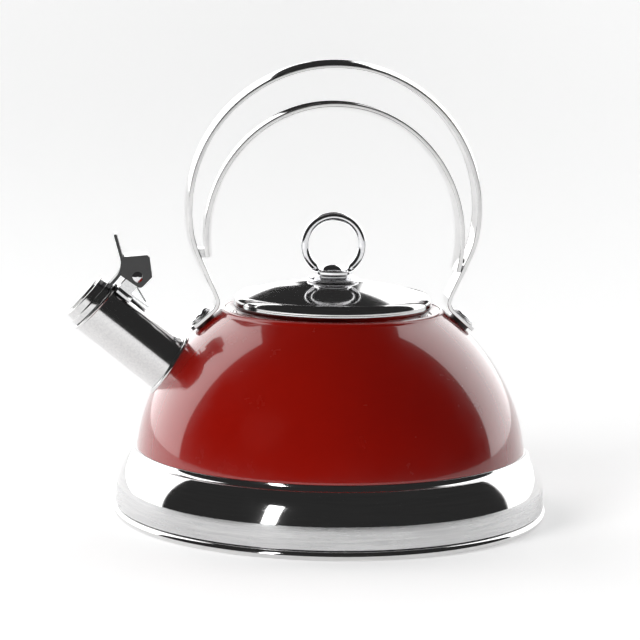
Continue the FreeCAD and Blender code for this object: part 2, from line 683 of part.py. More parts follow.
# opening in the rim for the tongue of the lever
notch = sketch_loops(cap, "tongue_notch", "XZ_Plane", [[
    (7.5, bl - 0.04, None), (16.0, bl - 0.04, None), (16.0, front + 0.04, None), (7.5, front + 0.04, None),
]])
doc.recompute()
v0 = cap.Shape.Volume
nt = cap.newObject("PartDesign::Pocket", "notch")
nt.Profile = notch
nt.Type = "Length"
nt.Length = P("blade_width").v + 0.1
nt.setExpression("Length", "params.blade_width + 0.1")
nt.Midplane = True
cap.Tip = nt
doc.recompute()
if not cap.Shape.Volume < v0 - 1:
    raise RuntimeError("notch cuts nothing")
keep("whistle_cap", cap)

seat_plate = revolve("whistle_seat_plate_body", [[
    (3.0, -2.4, None), (11.3, -2.4, (0.6, 1)), (11.9, -1.8, None), (11.9, 0.5, None), (13.28, 0.5, None),
    (13.28, 1.08, None), (11.6, 1.08, (0.3, 1)), (11.3, 0.78, None), (11.3, -1.8, None), (3.0, -1.8, None),
]])
seat_plate.Placement = mouth_pl
rh2 = seat_plate.newObject("Sketcher::SketchObject", "seat_rivet_hole")
rh2.AttachmentSupport = [(plane(seat_plate, "XY_Plane"), "")]
rh2.MapMode = "FlatFace"
rh2.addGeometry(Part.Circle(Vector(rx, 0, 0), Vector(0, 0, 1), 0.9), False)
rh2.addConstraint(Sketcher.Constraint("DistanceX", -1, 1, 0, 3, rx))
rh2.addConstraint(Sketcher.Constraint("PointOnObject", 0, 3, -1))
rh2.addConstraint(Sketcher.Constraint("Radius", 0, 0.9))
pocket_through(seat_plate, "seat_rivet_bore", rh2, 7.0)
keep("whistle_seat_plate", seat_plate)

tp, wh = P("top_plate_radius"), P("whistle_hole")
top_plate = revolve("whistle_top_plate_body", [[
    (wh, 7.95, None), (wn - 0.7, 7.95, None), (wn - 0.7, 6.2, None), (wn - 0.03, 6.2, None), (wn - 0.03, 7.95, None),
    (tp - 0.2, 7.95, (0.275, 1)), (tp - 0.2, 8.5, None), (3.2, 8.5, None), (wh + 0.4, 8.3, None), (wh, 8.3, None),
]])
top_plate.Placement = mouth_pl
keep("whistle_top_plate", top_plate)

low_plate = revolve("whistle_inner_plate_body", [[
    (wh, 6.3, None), (wn - 0.75, 6.3, None), (wn - 0.75, 6.8, None), (wh, 6.8, None),
]])
low_plate.Placement = mouth_pl
keep("whistle_inner_plate", low_plate)

rivet = revolve("lever_rivet_body", [[
    (0.0, 0.5, None), (0.86, 0.5, None), (0.86, front + 0.0, None), (0.6, front + 0.06, None), (0.0, front + 0.06, None),
]])
rivet.Placement = along(mouth_pl, 0.0, rx)
keep("lever_rivet", rivet)

# ---------------------------------------------------------------------------
# Lid: shallow dome with a rounded rim, locating collar, knob with a ring, screw and washer
# ---------------------------------------------------------------------------
la, lR = P("lid_apex"), P("lid_arc")


def lid_z(r, off=0.0):
    return la - lR + dsqrt(dsq(lR - off) - dsq(Dim.of(r)))


ler, lrr, lrz = P("lid_edge_radius"), P("lid_rim_radius"), P("lid_rim_height")
lfr, lfz, kb = P("lid_foot_radius"), P("lid_foot_height"), P("knob_bore")
lid = revolve("lid_shell_body", [[
    (lfr, lfz, None),
    (lrr - 0.35, lrz - 2.1, (3.2, 1)), (lrr, lrz, (5.2, 1)), (ler + 0.5, lid_z(ler) + 0.18, (1.2, 1)),
    (ler, lid_z(ler), (lR, 1)), (kb, lid_z(kb), None), (kb, lid_z(kb, 0.8), (lR - 0.8, -1)),
    (ler - 0.5, lid_z(ler - 0.5, 0.8), (3.0, -1)), (lrr - 1.6, lrz + 1.6, None), (lrr - 0.8, lrz, None),
    (lrr - 1.1, lrz - 2.0, None), (lfr - 0.75, lfz, None),
]])
keep("lid_shell", lid)

cr, cl = P("collar_radius"), P("collar_low")
z_in = lid_z(cr - 3.4, 0.85)
collar = revolve("lid_collar_body", [[
    (cr - 0.7, cl, None), (cr, cl, None), (cr, lid_z(cr, 0.85) - 0.1, None), (cr - 3.6, lid_z(cr - 3.6, 0.85), None),
    (cr - 3.6, lid_z(cr - 3.6, 0.85) - 0.8, None), (cr - 0.7, lid_z(cr, 0.85) - 0.95, None),
]])
keep("lid_collar", collar)

kn, kf, kbr = P("knob_neck_radius"), P("knob_flange_radius"), P("knob_bulge_radius")
kfl, kft, kc, kt = P("knob_flange_low"), P("knob_flange_top"), P("knob_cap_radius"), P("knob_top")
kbs = kbr - 0.7
knob = revolve("knob_base_body", [[
    (1.95, lid_z(1.95) + 0.02, (lR, -1)), (kbs, lid_z(kbs) + 0.02, (0.9, 1)), (kbr, 118.35, (1.0, 1)),
    (kbr - 1.1, 119.15, None), (kn + 0.9, 119.75, (0.9, -1)), (kn, 120.2, None), (kn, kfl - 0.02, None),
    (1.95, kfl - 0.02, None),
]])
keep("knob_base", knob)
knob_top_part = revolve("knob_cap_body", [[
    (1.9, kfl, None), (kn + 0.1, kfl, None), (kf - 0.35, kfl + 0.35, (0.9, 1)), (kf, kfl + 1.0, None),
    (kf, kft - 0.5, (0.5, 1)), (kf - 0.5, kft, None), (kc, kft, None), (kc, kft + 0.25, (13.0, 1)), (0.8, kt, None), (0.0, kt, None),
    (0.0, kfl + 3.0, None), (1.9, kfl + 3.0, None),
]])
keep("knob_cap", knob_top_part)

# ring of round wire, open at the bottom, its two ends set on the flange
ring = new_body("knob_ring_body")
rr, rc, rw, ga = P("ring_radius"), P("ring_centre"), P("ring_wire"), P("ring_gap_angle")
gx, gz = rr * dsin(ga), rc - rr * dcos(ga)
path = open_path(ring, "ring_path", "XZ_Plane", [(0.0, rc + rr, (rr, -1)), (gx, gz, None)])
prof_ring = ring.newObject("Sketcher::SketchObject", "ring_section")
prof_ring.AttachmentSupport = [(plane(ring, "YZ_Plane"), "")]
prof_ring.MapMode = "FlatFace"
prof_ring.addGeometry(Part.Circle(Vector(0, (rc + rr).v, 0), Vector(0, 0, 1), rw.v / 2), False)
prof_ring.addConstraint(Sketcher.Constraint("PointOnObject", 0, 3, -2))
prof_ring.addConstraint(Sketcher.Constraint("DistanceY", -1, 1, 0, 3, (rc + rr).v))
prof_ring.addConstraint(Sketcher.Constraint("Radius", 0, rw.v / 2))
prof_ring.setExpression("Constraints[1]", "params.ring_centre + params.ring_radius")
prof_ring.setExpression("Constraints[2]", "params.ring_wire / 2")
doc.recompute()
pipe = ring.newObject("PartDesign::AdditivePipe", "ring_half")
pipe.Profile = prof_ring
pipe.Spine = (path, ["Edge1"])
ring.Tip = pipe
doc.recompute()
mir = ring.newObject("PartDesign::Mirrored", "ring_mirrored")
mir.Originals = [pipe]
mir.MirrorPlane = (plane(ring, "YZ_Plane"), [""])
ring.Tip = mir
doc.recompute()
ring_foot_l = part_cylinder("ring_foot_left", 2.0, 2.4, Placement(Vector(-gx.v + 0.6, 0, kft.v + 0.02), Rotation(Vector(0, 1, 0), 0)))
ring_foot_r = part_cylinder("ring_foot_right", 2.0, 2.4, Placement(Vector(gx.v - 0.6, 0, kft.v + 0.02), Rotation(Vector(0, 1, 0), 0)))
ring_all = part_fuse("ring_with_feet", [ring, ring_foot_l, ring_foot_r])
ring_cut_tool = part_cylinder("ring_flange_clearance", 20.0, 5.0, Placement(Vector(0, 0, kft.v - 4.98), Rotation()))
ring_mid_tool = part_cylinder("ring_cap_clearance", kc + 0.03, 2.4, Placement(Vector(0, 0, kft.v - 0.5), Rotation()))
ring_tools = part_fuse("ring_clearances", [ring_cut_tool, ring_mid_tool])
ring_done = part_cut("knob_ring_part", ring_all, ring_tools)
keep("knob_ring", ring_done)

z_under = lid_z(0.0, 0.8)
washer = revolve("knob_washer_body", [[
    (1.95, z_under - 1.12, None), (6.0, z_under - 1.12, None), (6.0, z_under - 0.12, None), (1.95, z_under - 0.12, None),
]])
keep("knob_washer", washer)
kscrew = revolve("knob_screw_body", [[
    (0.0, z_under - 3.3, None), (0.5, z_under - 3.3, (6.6, 1)), (3.5, z_under - 2.3, None), (3.5, z_under - 1.14, None), (1.88, z_under - 1.14, None),
    (1.88, kfl + 2.9, None), (0.0, kfl + 2.9, None),
]])
keep("knob_screw", kscrew)

# ---------------------------------------------------------------------------
# Handle: two crowned steel bands.  The outer one carries the legs and feet.
# ---------------------------------------------------------------------------
bw, bth = P("band_width"), P("band_thick")
oc, orad, ot = P("outer_centre"), P("outer_radius"), P("outer_turn")
osr, ls = P("outer_side_radius"), P("leg_slope")
mid = bth / 2.0
R1 = orad - mid                      # centre line of the big arc
R2 = osr - mid                       # centre line of the lower side arcs
a1x, a1z = R1 * dcos(ot), oc - R1 * dsin(ot)
a2x = a1x - R2 * (dcos(ot) - dcos(ls))
a2z = a1z - R2 * (dsin(ls) - dsin(ot))
fs = P("flat_start")
tan_ls = dsin(ls) / dcos(ls)
a3x, a3z = a2x - (a2z - fs) * tan_ls, fs


def crowned(body, name, top, crown, outward):
    """Section of a band in the YZ plane at the top of its arc: width along Y, crown in Z."""
    hw = bw / 2.0
    c = crown
    rad = (dsq(hw) + dsq(c)) / (2.0 * c)
    lo = top - bth
    if outward:
        return sketch_loops(body, name, "YZ_Plane", [[
            (-hw, lo, (rad, -1)), (hw, lo, None), (hw, top, (rad, 1)), (-hw, top, None),
        ]])
    return sketch_loops(body, name, "YZ_Plane", [[
        (-hw, lo, (rad, 1)), (hw, lo, None), (hw, top, (rad, -1)), (-hw, top, None),
    ]])


outer = new_body("handle_outer_band_body")
o_path = open_path(outer, "outer_path", "XZ_Plane", [
    (0.0, oc + R1, (R1, -1)), (a1x, a1z, (R2, -1)), (a2x, a2z, None), (a3x, a3z, None)])
o_sec = crowned(outer, "outer_section", oc + orad, P("outer_crown"), True)
doc.recompute()
o_pipe = outer.newObject("PartDesign::AdditivePipe", "outer_sweep")
o_pipe.Profile = o_sec
o_pipe.Spine = (o_path, ["Edge1", "Edge2", "Edge3"])
o_pipe.Transition = "Transformed"
outer.Tip = o_pipe
doc.recompute()

# Lower legs: crown fades to a flat strip, then the bend and the foot.  Built for the right side.
hw = bw.v / 2.0
t_leg = Vector(-math.sin(math.radians(ls.v)), 0, -math.cos(math.radians(ls.v)))
n_leg = Vector(math.cos(math.radians(ls.v)), 0, -math.sin(math.radians(ls.v)))
start = Vector(a3x.v, 0, a3z.v)
crown = P("outer_crown").v
rad_c = (hw * hw + crown * crown) / (2 * crown)


def leg_section(at, c):
    """Closed section across the leg at a point, with crown c towards the outside."""
    t2 = bth.v / 2
    c = max(c, 0.02)
    a = at - Vector(0, hw, 0) - n_leg * t2
    b = at + Vector(0, hw, 0) - n_leg * t2
    cc = at + Vector(0, hw, 0) + n_leg * t2
    d = at - Vector(0, hw, 0) + n_leg * t2
    e1 = Part.Arc(a, at - n_leg * (t2 - c), b).toShape()
    e2 = Part.makeLine(b, cc)
    e3 = Part.Arc(cc, at + n_leg * (t2 + c), d).toShape()
    e4 = Part.makeLine(d, a)
    return Part.Wire([e1, e2, e3, e4])


# foot line: parallel to the dome at the screw, a gap above it
ft = P("foot_gap").v + bth.v / 2
f_dir = Vector(nrm.z, 0, -nrm.x)
f_pt = Vector(sr, 0, sz) + nrm * ft
den = t_leg.x * f_dir.z - t_leg.z * f_dir.x
d0 = f_pt - start
s_leg = (d0.x * f_dir.z - d0.z * f_dir.x) / den
corner = start + t_leg * s_leg
turn = math.acos(max(-1.0, min(1.0, t_leg.dot(f_dir))))
fb = P("foot_bend").v
tl = fb * math.tan(turn / 2)
b_start = corner - t_leg * tl
b_end = corner + f_dir * tl
side = n_leg                                  # towards the centre of the bend
b_cen = b_start + side * fb
mid_dir = ((b_start - b_cen) + (b_end - b_cen))
mid_dir.normalize()
foot_end = f_pt + f_dir * P("foot_past").v
print("bend inner face x %.2f at z %.2f, foot end (%.2f, %.2f)" % (b_cen.x - fb - bth.v / 2, b_cen.z, foot_end.x, foot_end.z))
n_foot = nrm
loft = Part.makeLoft([leg_section(start, crown), leg_section(b_start, 0.0)], True, True)


def strip_face(y):
    t2 = bth.v / 2
    o = Vector(0, y, 0)
    p1 = b_start + n_leg * t2 + o
    p2 = b_end + n_foot * t2 + o
    pm = b_cen + mid_dir * (fb - t2) + o
    q1 = b_start - n_leg * t2 + o
    q2 = b_end - n_foot * t2 + o
    qm = b_cen + mid_dir * (fb + t2) + o
    r1 = foot_end + n_foot * t2 + o
    r2 = foot_end - n_foot * t2 + o
    w = Part.Wire([Part.Arc(p1, pm, p2).toShape(), Part.makeLine(p2, r1), Part.makeLine(r1, r2),
                   Part.makeLine(r2, q2), Part.Arc(q2, qm, q1).toShape(), Part.makeLine(q1, p1)])
    return Part.Face(w)


foot = strip_face(-hw).extrude(Vector(0, 2 * hw, 0))
# rounded corners of the foot
corner_r = 6.0
block = Part.makeBox(corner_r + 2, 4 * hw, 12.0, Vector(0, -2 * hw, -6.0))
rounder = Part.makeBox(40.0, 2 * hw, 12.0, Vector(-40.0 + 0.0, -hw, -6.0))
vert = [e for e in rounder.Edges if abs(e.Vertexes[0].X) < 1e-6 and abs(e.Vertexes[1].X) < 1e-6
        and abs(e.Vertexes[0].Y - e.Vertexes[1].Y) < 1e-6]
rounder = rounder.makeFillet(corner_r, vert)
foot_pl = Placement(foot_end, Rotation(Vector(0, 1, 0), math.degrees(math.atan2(-f_dir.z, f_dir.x))))
rounder.Placement = foot_pl
foot = foot.common(rounder)
hole = Part.makeCylinder(P("screw_shank").v + 0.2, 12.0, screw_pl.multVec(Vector(0, 0, -2.0)), nrm)
lower = loft.fuse(foot).cut(hole)
lower_leg = doc.addObject("Part::Feature", "handle_lower_leg")
lower_leg.Shape = lower
lower_left = mirror_x("handle_lower_leg_left", lower_leg)
o_mir = outer.newObject("PartDesign::Mirrored", "outer_mirrored")
o_mir.Originals = [o_pipe]
o_mir.MirrorPlane = (plane(outer, "YZ_Plane"), [""])
outer.Tip = o_mir
doc.recompute()
outer_all = part_fuse("handle_outer_band_part", [outer, lower_leg, lower_left])
outer_all.Refine = True
keep("handle_outer_band", outer_all)

# inner band: three tangent arcs, crown turned inwards, ends cut at two heights
inner = new_body("handle_inner_band_body")
itc, itr, isr = P("inner_top_centre"), P("inner_top_radius"), P("inner_side_radius")
RT, RS = itr - mid, isr - mid
k45 = math.sqrt(0.5)
i1x, i1z = RT * k45, itc + RT * k45
scx = (RT - RS) * k45
scz = itc + (RT - RS) * k45
low = 118.0
i2x = scx + dsqrt(dsq(RS) - dsq(scz - low))
i_path = open_path(inner, "inner_path", "XZ_Plane", [(0.0, itc + RT, (RT, -1)), (i1x, i1z, (RS, -1)), (i2x, low, None)])
i_sec = crowned(inner, "inner_section", itc + itr, P("inner_crown"), False)
doc.recompute()
i_pipe = inner.newObject("PartDesign::AdditivePipe", "inner_sweep")
i_pipe.Profile = i_sec
i_pipe.Spine = (i_path, ["Edge1", "Edge2"])
i_pipe.Transition = "Transformed"
inner.Tip = i_pipe
doc.recompute()
i_mir = inner.newObject("PartDesign::Mirrored", "inner_mirrored")
i_mir.Originals = [i_pipe]
i_mir.MirrorPlane = (plane(inner, "YZ_Plane"), [""])
inner.Tip = i_mir
doc.recompute()
trim = sketch_loops(inner, "end_trim", "XZ_Plane", [
    [(-80.0, 100.0, None), (-40.0, 100.0, None), (-40.0, P("inner_left_end"), None), (-80.0, P("inner_left_end"), None)],
    [(40.0, 100.0, None), (80.0, 100.0, None), (80.0, P("inner_right_end"), None), (40.0, P("inner_right_end"), None)],
])
pocket_through(inner, "ends_trimmed", trim, 60.0)
inner_clear = part_cut("handle_inner_band_part", inner, outer_all)
keep("handle_inner_band", inner_clear)

# weld blocks that fill the wedge between the two bands at each side
wb_l = doc.addObject("Part::Box", "weld_block_left_blank")
wb_l.Length = 6.0
wb_l.Width = 13.0
wb_l.Height = 4.2
wb_l.Placement = Placement(Vector(-68.6, -6.5, P("inner_left_end").v - 0.4), Rotation())
wb_r = doc.addObject("Part::Box", "weld_block_right_blank")
wb_r.Length = 7.7
wb_r.Width = 13.0
wb_r.Height = 3.4
wb_r.Placement = Placement(Vector(61.9, -6.5, P("inner_right_end").v - 0.6), Rotation())
both = part_fuse("handle_bands", [outer_all, inner_clear])
both.Refine = False


def between(blank, name, sign):
    """Part of the blank that lies between the centre lines of the two bands."""
    cut = part_cut(name + "_cut", blank, both)
    doc.recompute()
    best = None
    for sol in cut.Shape.Solids:
        c = sol.CenterOfMass
        # inside face of the leg and outside face of the inner band at this height
        leg_x = a2x.v - (a2z.v - c.z) * tan_ls.v
        in_x = scx.v + math.sqrt(RS.v ** 2 - (scz.v - c.z) ** 2)
        if in_x - 2.2 < abs(c.x) < leg_x + 0.6:
            if best is None or sol.Volume > best.Volume:
                best = sol
    return cut, best


cut_l, sol_l = between(wb_l, "weld_left", -1)
cut_r, sol_r = between(wb_r, "weld_right", 1)
print("weld block volumes", sol_l.Volume if sol_l else None, sol_r.Volume if sol_r else None)
welds = doc.addObject("Part::Feature", "handle_weld_blocks_part")
welds.Shape = Part.makeCompound([x for x in (sol_l, sol_r) if x])
keep("handle_weld_blocks", welds)

# ---------------------------------------------------------------------------
# Handle fasteners, drawn at the right foot and mirrored to the left
# ---------------------------------------------------------------------------
ss, hr_, hh = P("screw_shank"), P("screw_head_radius"), P("screw_head_high")
wr, wt, fg = P("washer_radius"), P("washer_thick"), P("foot_gap")
foot_top = fg + bth
scr = revolve("handle_screw_body", [[
    (0.0, -7.6, None), (ss - 0.5, -7.6, None), (ss, -7.1, None), (ss, foot_top + wt, None), (hr_, foot_top + wt, None),
    (hr_, foot_top + wt + 0.6, (6.9, 1)), (0.6, foot_top + wt + hh, None), (0.0, foot_top + wt + hh, None),
]], screw_pl)
keep("handle_screws", group("handle_screws_group", [scr, mirror_x("handle_screw_left", scr)]))
was = revolve("handle_washer_body", [[
    (ss + 0.05, foot_top, None), (wr, foot_top, None), (wr, foot_top + wt - 0.25, None), (wr - 0.3, foot_top + wt, None),
    (ss + 0.05, foot_top + wt, None),
]], screw_pl)
keep("handle_washers", group("handle_washers_group", [was, mirror_x("handle_washer_left", was)]))
spc = revolve("handle_spacer_body", [[
    (ss + 0.15, -0.8, None), (5.4, -0.8, None), (5.4, fg, None), (ss + 0.15, fg, None),
]], screw_pl)
spc_cut = part_cut("handle_spacer_part", spc, env)
keep("handle_spacers", group("handle_spacers_group", [spc_cut, mirror_x("handle_spacer_left", spc_cut)]))
sea = revolve("handle_seal_body", [[
    (ss + 0.05, -2.2, None), (6.6, -2.2, None), (6.6, -1.3, None), (ss + 0.05, -1.15, None),
]], screw_pl)
keep("handle_inner_seals", group("handle_inner_seals_group", [sea, mirror_x("handle_seal_left", sea)]))
nut = doc.addObject("Part::Prism", "handle_nut_blank")
nut.Polygon = 6
nut.Circumradius = 4.62
nut.Height = 4.0
nut.Placement = along(screw_pl, -6.25)
nut_bore = part_cylinder("handle_nut_bore", ss + 0.02, 8.0, along(screw_pl, -8.0))
nut_cut = part_cut("handle_nut_part", nut, nut_bore)
keep("handle_nuts", group("handle_nuts_group", [nut_cut, mirror_x("handle_nut_left", nut_cut)]))

# ---------------------------------------------------------------------------
# Recompute, test and write
# ---------------------------------------------------------------------------
doc.recompute()
bad = []
for o in doc.Objects:
    if any(st in ("Invalid", "Error") for st in o.State):
        bad.append("%s state %s" % (o.Name, o.State))
for label, o in NODES:
    sh = o.Shape
    if sh.isNull() or not sh.isValid() or not sh.Solids:
        bad.append("%s shape null, invalid or without a solid" % label)
if bad:
    raise RuntimeError("; ".join(bad))
for label, o in NODES:
    o.Shape.exportStep("parts/%s.step" % label)
    bb = o.Shape.BoundBox
    print("%-22s solids %d volume %9.1f  x %.1f..%.1f y %.1f..%.1f z %.1f..%.1f" % (
        label, len(o.Shape.Solids), o.Shape.Volume, bb.XMin, bb.XMax, bb.YMin, bb.YMax, bb.ZMin, bb.ZMax))
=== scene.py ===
import bpy
import bmesh
import math
from mathutils import Matrix, Vector


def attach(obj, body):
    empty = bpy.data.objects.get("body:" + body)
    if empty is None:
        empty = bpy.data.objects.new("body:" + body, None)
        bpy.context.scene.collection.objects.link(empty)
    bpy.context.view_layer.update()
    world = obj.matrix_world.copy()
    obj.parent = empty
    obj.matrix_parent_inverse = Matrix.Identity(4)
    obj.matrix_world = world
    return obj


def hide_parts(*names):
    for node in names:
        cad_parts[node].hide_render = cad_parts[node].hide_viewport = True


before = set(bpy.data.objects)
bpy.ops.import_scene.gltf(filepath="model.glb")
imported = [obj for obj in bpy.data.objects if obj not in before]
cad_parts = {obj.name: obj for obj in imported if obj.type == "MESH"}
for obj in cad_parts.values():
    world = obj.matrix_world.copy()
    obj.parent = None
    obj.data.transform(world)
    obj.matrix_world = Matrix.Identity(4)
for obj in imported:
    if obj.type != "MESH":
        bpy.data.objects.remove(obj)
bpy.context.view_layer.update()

MM = 0.001
scene = bpy.context.scene
RAD = math.radians

# ---------------------------------------------------------------------------
# Profiles: a list of (x, y, seg); seg is None for a straight run to the next
# point, or (radius, side) for an arc, side +1 with its centre on the left
# ---------------------------------------------------------------------------


def arc_run(p, q, r, side, step=4.0):
    mx, my = (p[0] + q[0]) / 2, (p[1] + q[1]) / 2
    dx, dy = q[0] - p[0], q[1] - p[1]
    d = math.hypot(dx, dy)
    k = math.sqrt(max(r * r - d * d / 4, 0.0))
    cx, cy = mx - side * k * dy / d, my + side * k * dx / d
    a0 = math.atan2(p[1] - cy, p[0] - cx)
    a1 = math.atan2(q[1] - cy, q[0] - cx)
    if side > 0:
        while a1 < a0:
            a1 += 2 * math.pi
    else:
        while a1 > a0:
            a1 -= 2 * math.pi
    n = max(3, int(math.ceil(abs(math.degrees(a1 - a0)) / step)), int(abs(a1 - a0) * r / 1.2))
    return [(cx + r * math.cos(a0 + (a1 - a0) * i / n), cy + r * math.sin(a0 + (a1 - a0) * i / n)) for i in range(1, n)]


def outline(loop, soft=0.2, longest=3.0):
    """Dense closed outline with its sharp corners eased by a small radius."""
    pts = []
    n = len(loop)
    for i in range(n):
        p = (loop[i][0], loop[i][1])
        q = (loop[(i + 1) % n][0], loop[(i + 1) % n][1])
        pts.append((p, True))
        if loop[i][2] is not None:
            pts += [(t, False) for t in arc_run(p, q, loop[i][2][0], loop[i][2][1])]
    out = []
    m = len(pts)
    for i in range(m):
        p, corner = pts[i]
        a, b = pts[i - 1][0], pts[(i + 1) % m][0]
        v1 = (a[0] - p[0], a[1] - p[1])
        v2 = (b[0] - p[0], b[1] - p[1])
        l1, l2 = math.hypot(*v1), math.hypot(*v2)
        cosv = max(-1, min(1, (v1[0] * v2[0] + v1[1] * v2[1]) / (l1 * l2)))
        turn = 180 - math.degrees(math.acos(cosv))
        if corner and turn > 24 and p[0] > 1e-6:
            d = min(soft, 0.42 * l1, 0.42 * l2)
            pa = (p[0] + v1[0] / l1 * d, p[1] + v1[1] / l1 * d)
            pb = (p[0] + v2[0] / l2 * d, p[1] + v2[1] / l2 * d)
            for f in (0.0, 0.25, 0.5, 0.75, 1.0):
                x = (1 - f) ** 2 * pa[0] + 2 * f * (1 - f) * p[0] + f * f * pb[0]
                y = (1 - f) ** 2 * pa[1] + 2 * f * (1 - f) * p[1] + f * f * pb[1]
                out.append((x, y))
        else:
            out.append(p)
    # break long straight runs so that edges and speckle have vertices near them
    dense = []
    for i in range(len(out)):
        p, q = out[i], out[(i + 1) % len(out)]
        dense.append(p)
        l = math.hypot(q[0] - p[0], q[1] - p[1])
        k = int(l // longest)
        for j in range(1, k + 1):
            f = j / (k + 1)
            if l > longest:
                dense.append((p[0] + (q[0] - p[0]) * f, p[1] + (q[1] - p[1]) * f))
    return dense


def finish_mesh(name, bm, matrix=None, sharp=40.0, mats=()):
    bmesh.ops.recalc_face_normals(bm, faces=bm.faces)
    me = bpy.data.meshes.new(name)
    bm.to_mesh(me)
    bm.free()
    if matrix is not None:
        me.transform(matrix)
    me.transform(Matrix.Scale(MM, 4))
    ob = bpy.data.objects.new(name, me)
    scene.collection.objects.link(ob)
    for m in mats:
        me.materials.append(m)
    me.shade_smooth()
    me.set_sharp_from_angle(angle=RAD(sharp))
    return ob


def lathe(name, loop, mats, seg=192, matrix=None, soft=0.2, longest=3.0, pick=None, sharp=40.0):
    """Turned piece about local Z.  pick(r, z, nr, nz) gives the material index of a band."""
    prof = outline(loop, soft, longest)
    area = sum(prof[i][0] * prof[(i + 1) % len(prof)][1] - prof[(i + 1) % len(prof)][0] * prof[i][1] for i in range(len(prof)))
    if area < 0:
        prof.reverse()
    bm = bmesh.new()
    rings = []
    for r, z in prof:
        if r < 1e-6:
            rings.append([bm.verts.new((0, 0, z))])
        else:
            rings.append([bm.verts.new((r * math.cos(2 * math.pi * j / seg), r * math.sin(2 * math.pi * j / seg), z)) for j in range(seg)])
    n = len(prof)
    for i in range(n):
        a, b = rings[i], rings[(i + 1) % n]
        if len(a) == 1 and len(b) == 1:
            continue
        (r0, z0), (r1, z1) = prof[i], prof[(i + 1) % n]
        l = math.hypot(r1 - r0, z1 - z0)
        idx = pick((r0 + r1) / 2, (z0 + z1) / 2, (z1 - z0) / l, -(r1 - r0) / l) if pick else 0
        for j in range(seg):
            k = (j + 1) % seg
            if len(a) == 1:
                f = bm.faces.new((a[0], b[k], b[j]))
            elif len(b) == 1:
                f = bm.faces.new((a[j], a[k], b[0]))
            else:
                f = bm.faces.new((a[j], a[k], b[k], b[j]))
            f.material_index = idx
            f.smooth = True
    return finish_mesh(name, bm, matrix, sharp, mats)


def sweep(name, frames, section, mats, closed=False, sharp=40.0, matrix=None):
    """frames: list of (origin, across, out); section(i) gives points (across, out) of a closed outline."""
    bm = bmesh.new()
    rows = []
    for i, (o, e, n) in enumerate(frames):
        rows.append([bm.verts.new(o + e * a + n * b) for a, b in section(i)])
    m = len(rows[0])
    for i in range(len(rows) - 1):
        for j in range(m):
            k = (j + 1) % m
            bm.faces.new((rows[i][j], rows[i][k], rows[i + 1][k], rows[i + 1][j]))
    bm.faces.new(rows[0][::-1])
    bm.faces.new(rows[-1])
    return finish_mesh(name, bm, matrix, sharp, mats)


def carve(ob, cutters):
    """Takes the cutter meshes out of a piece and drops them."""
    for c in cutters:
        mod = ob.modifiers.new("cut", "BOOLEAN")
        mod.object = c
        mod.operation = "DIFFERENCE"
        mod.solver = "EXACT"
    bpy.context.view_layer.update()
    dg = bpy.context.evaluated_depsgraph_get()
    me = bpy.data.meshes.new_from_object(ob.evaluated_get(dg), preserve_all_data_layers=True, depsgraph=dg)
    ob.modifiers.clear()
    old = ob.data
    ob.data = me
    me.name = old.name + "_cut"
    for c in cutters:
        bpy.data.objects.remove(c, do_unlink=True)
    me.set_sharp_from_angle(angle=RAD(40))
    return ob


def place(body, slot, ob, *nodes):
    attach(ob, body)
    if nodes:
        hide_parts(*nodes)
    return ob


# ---------------------------------------------------------------------------
# Materials
# ---------------------------------------------------------------------------


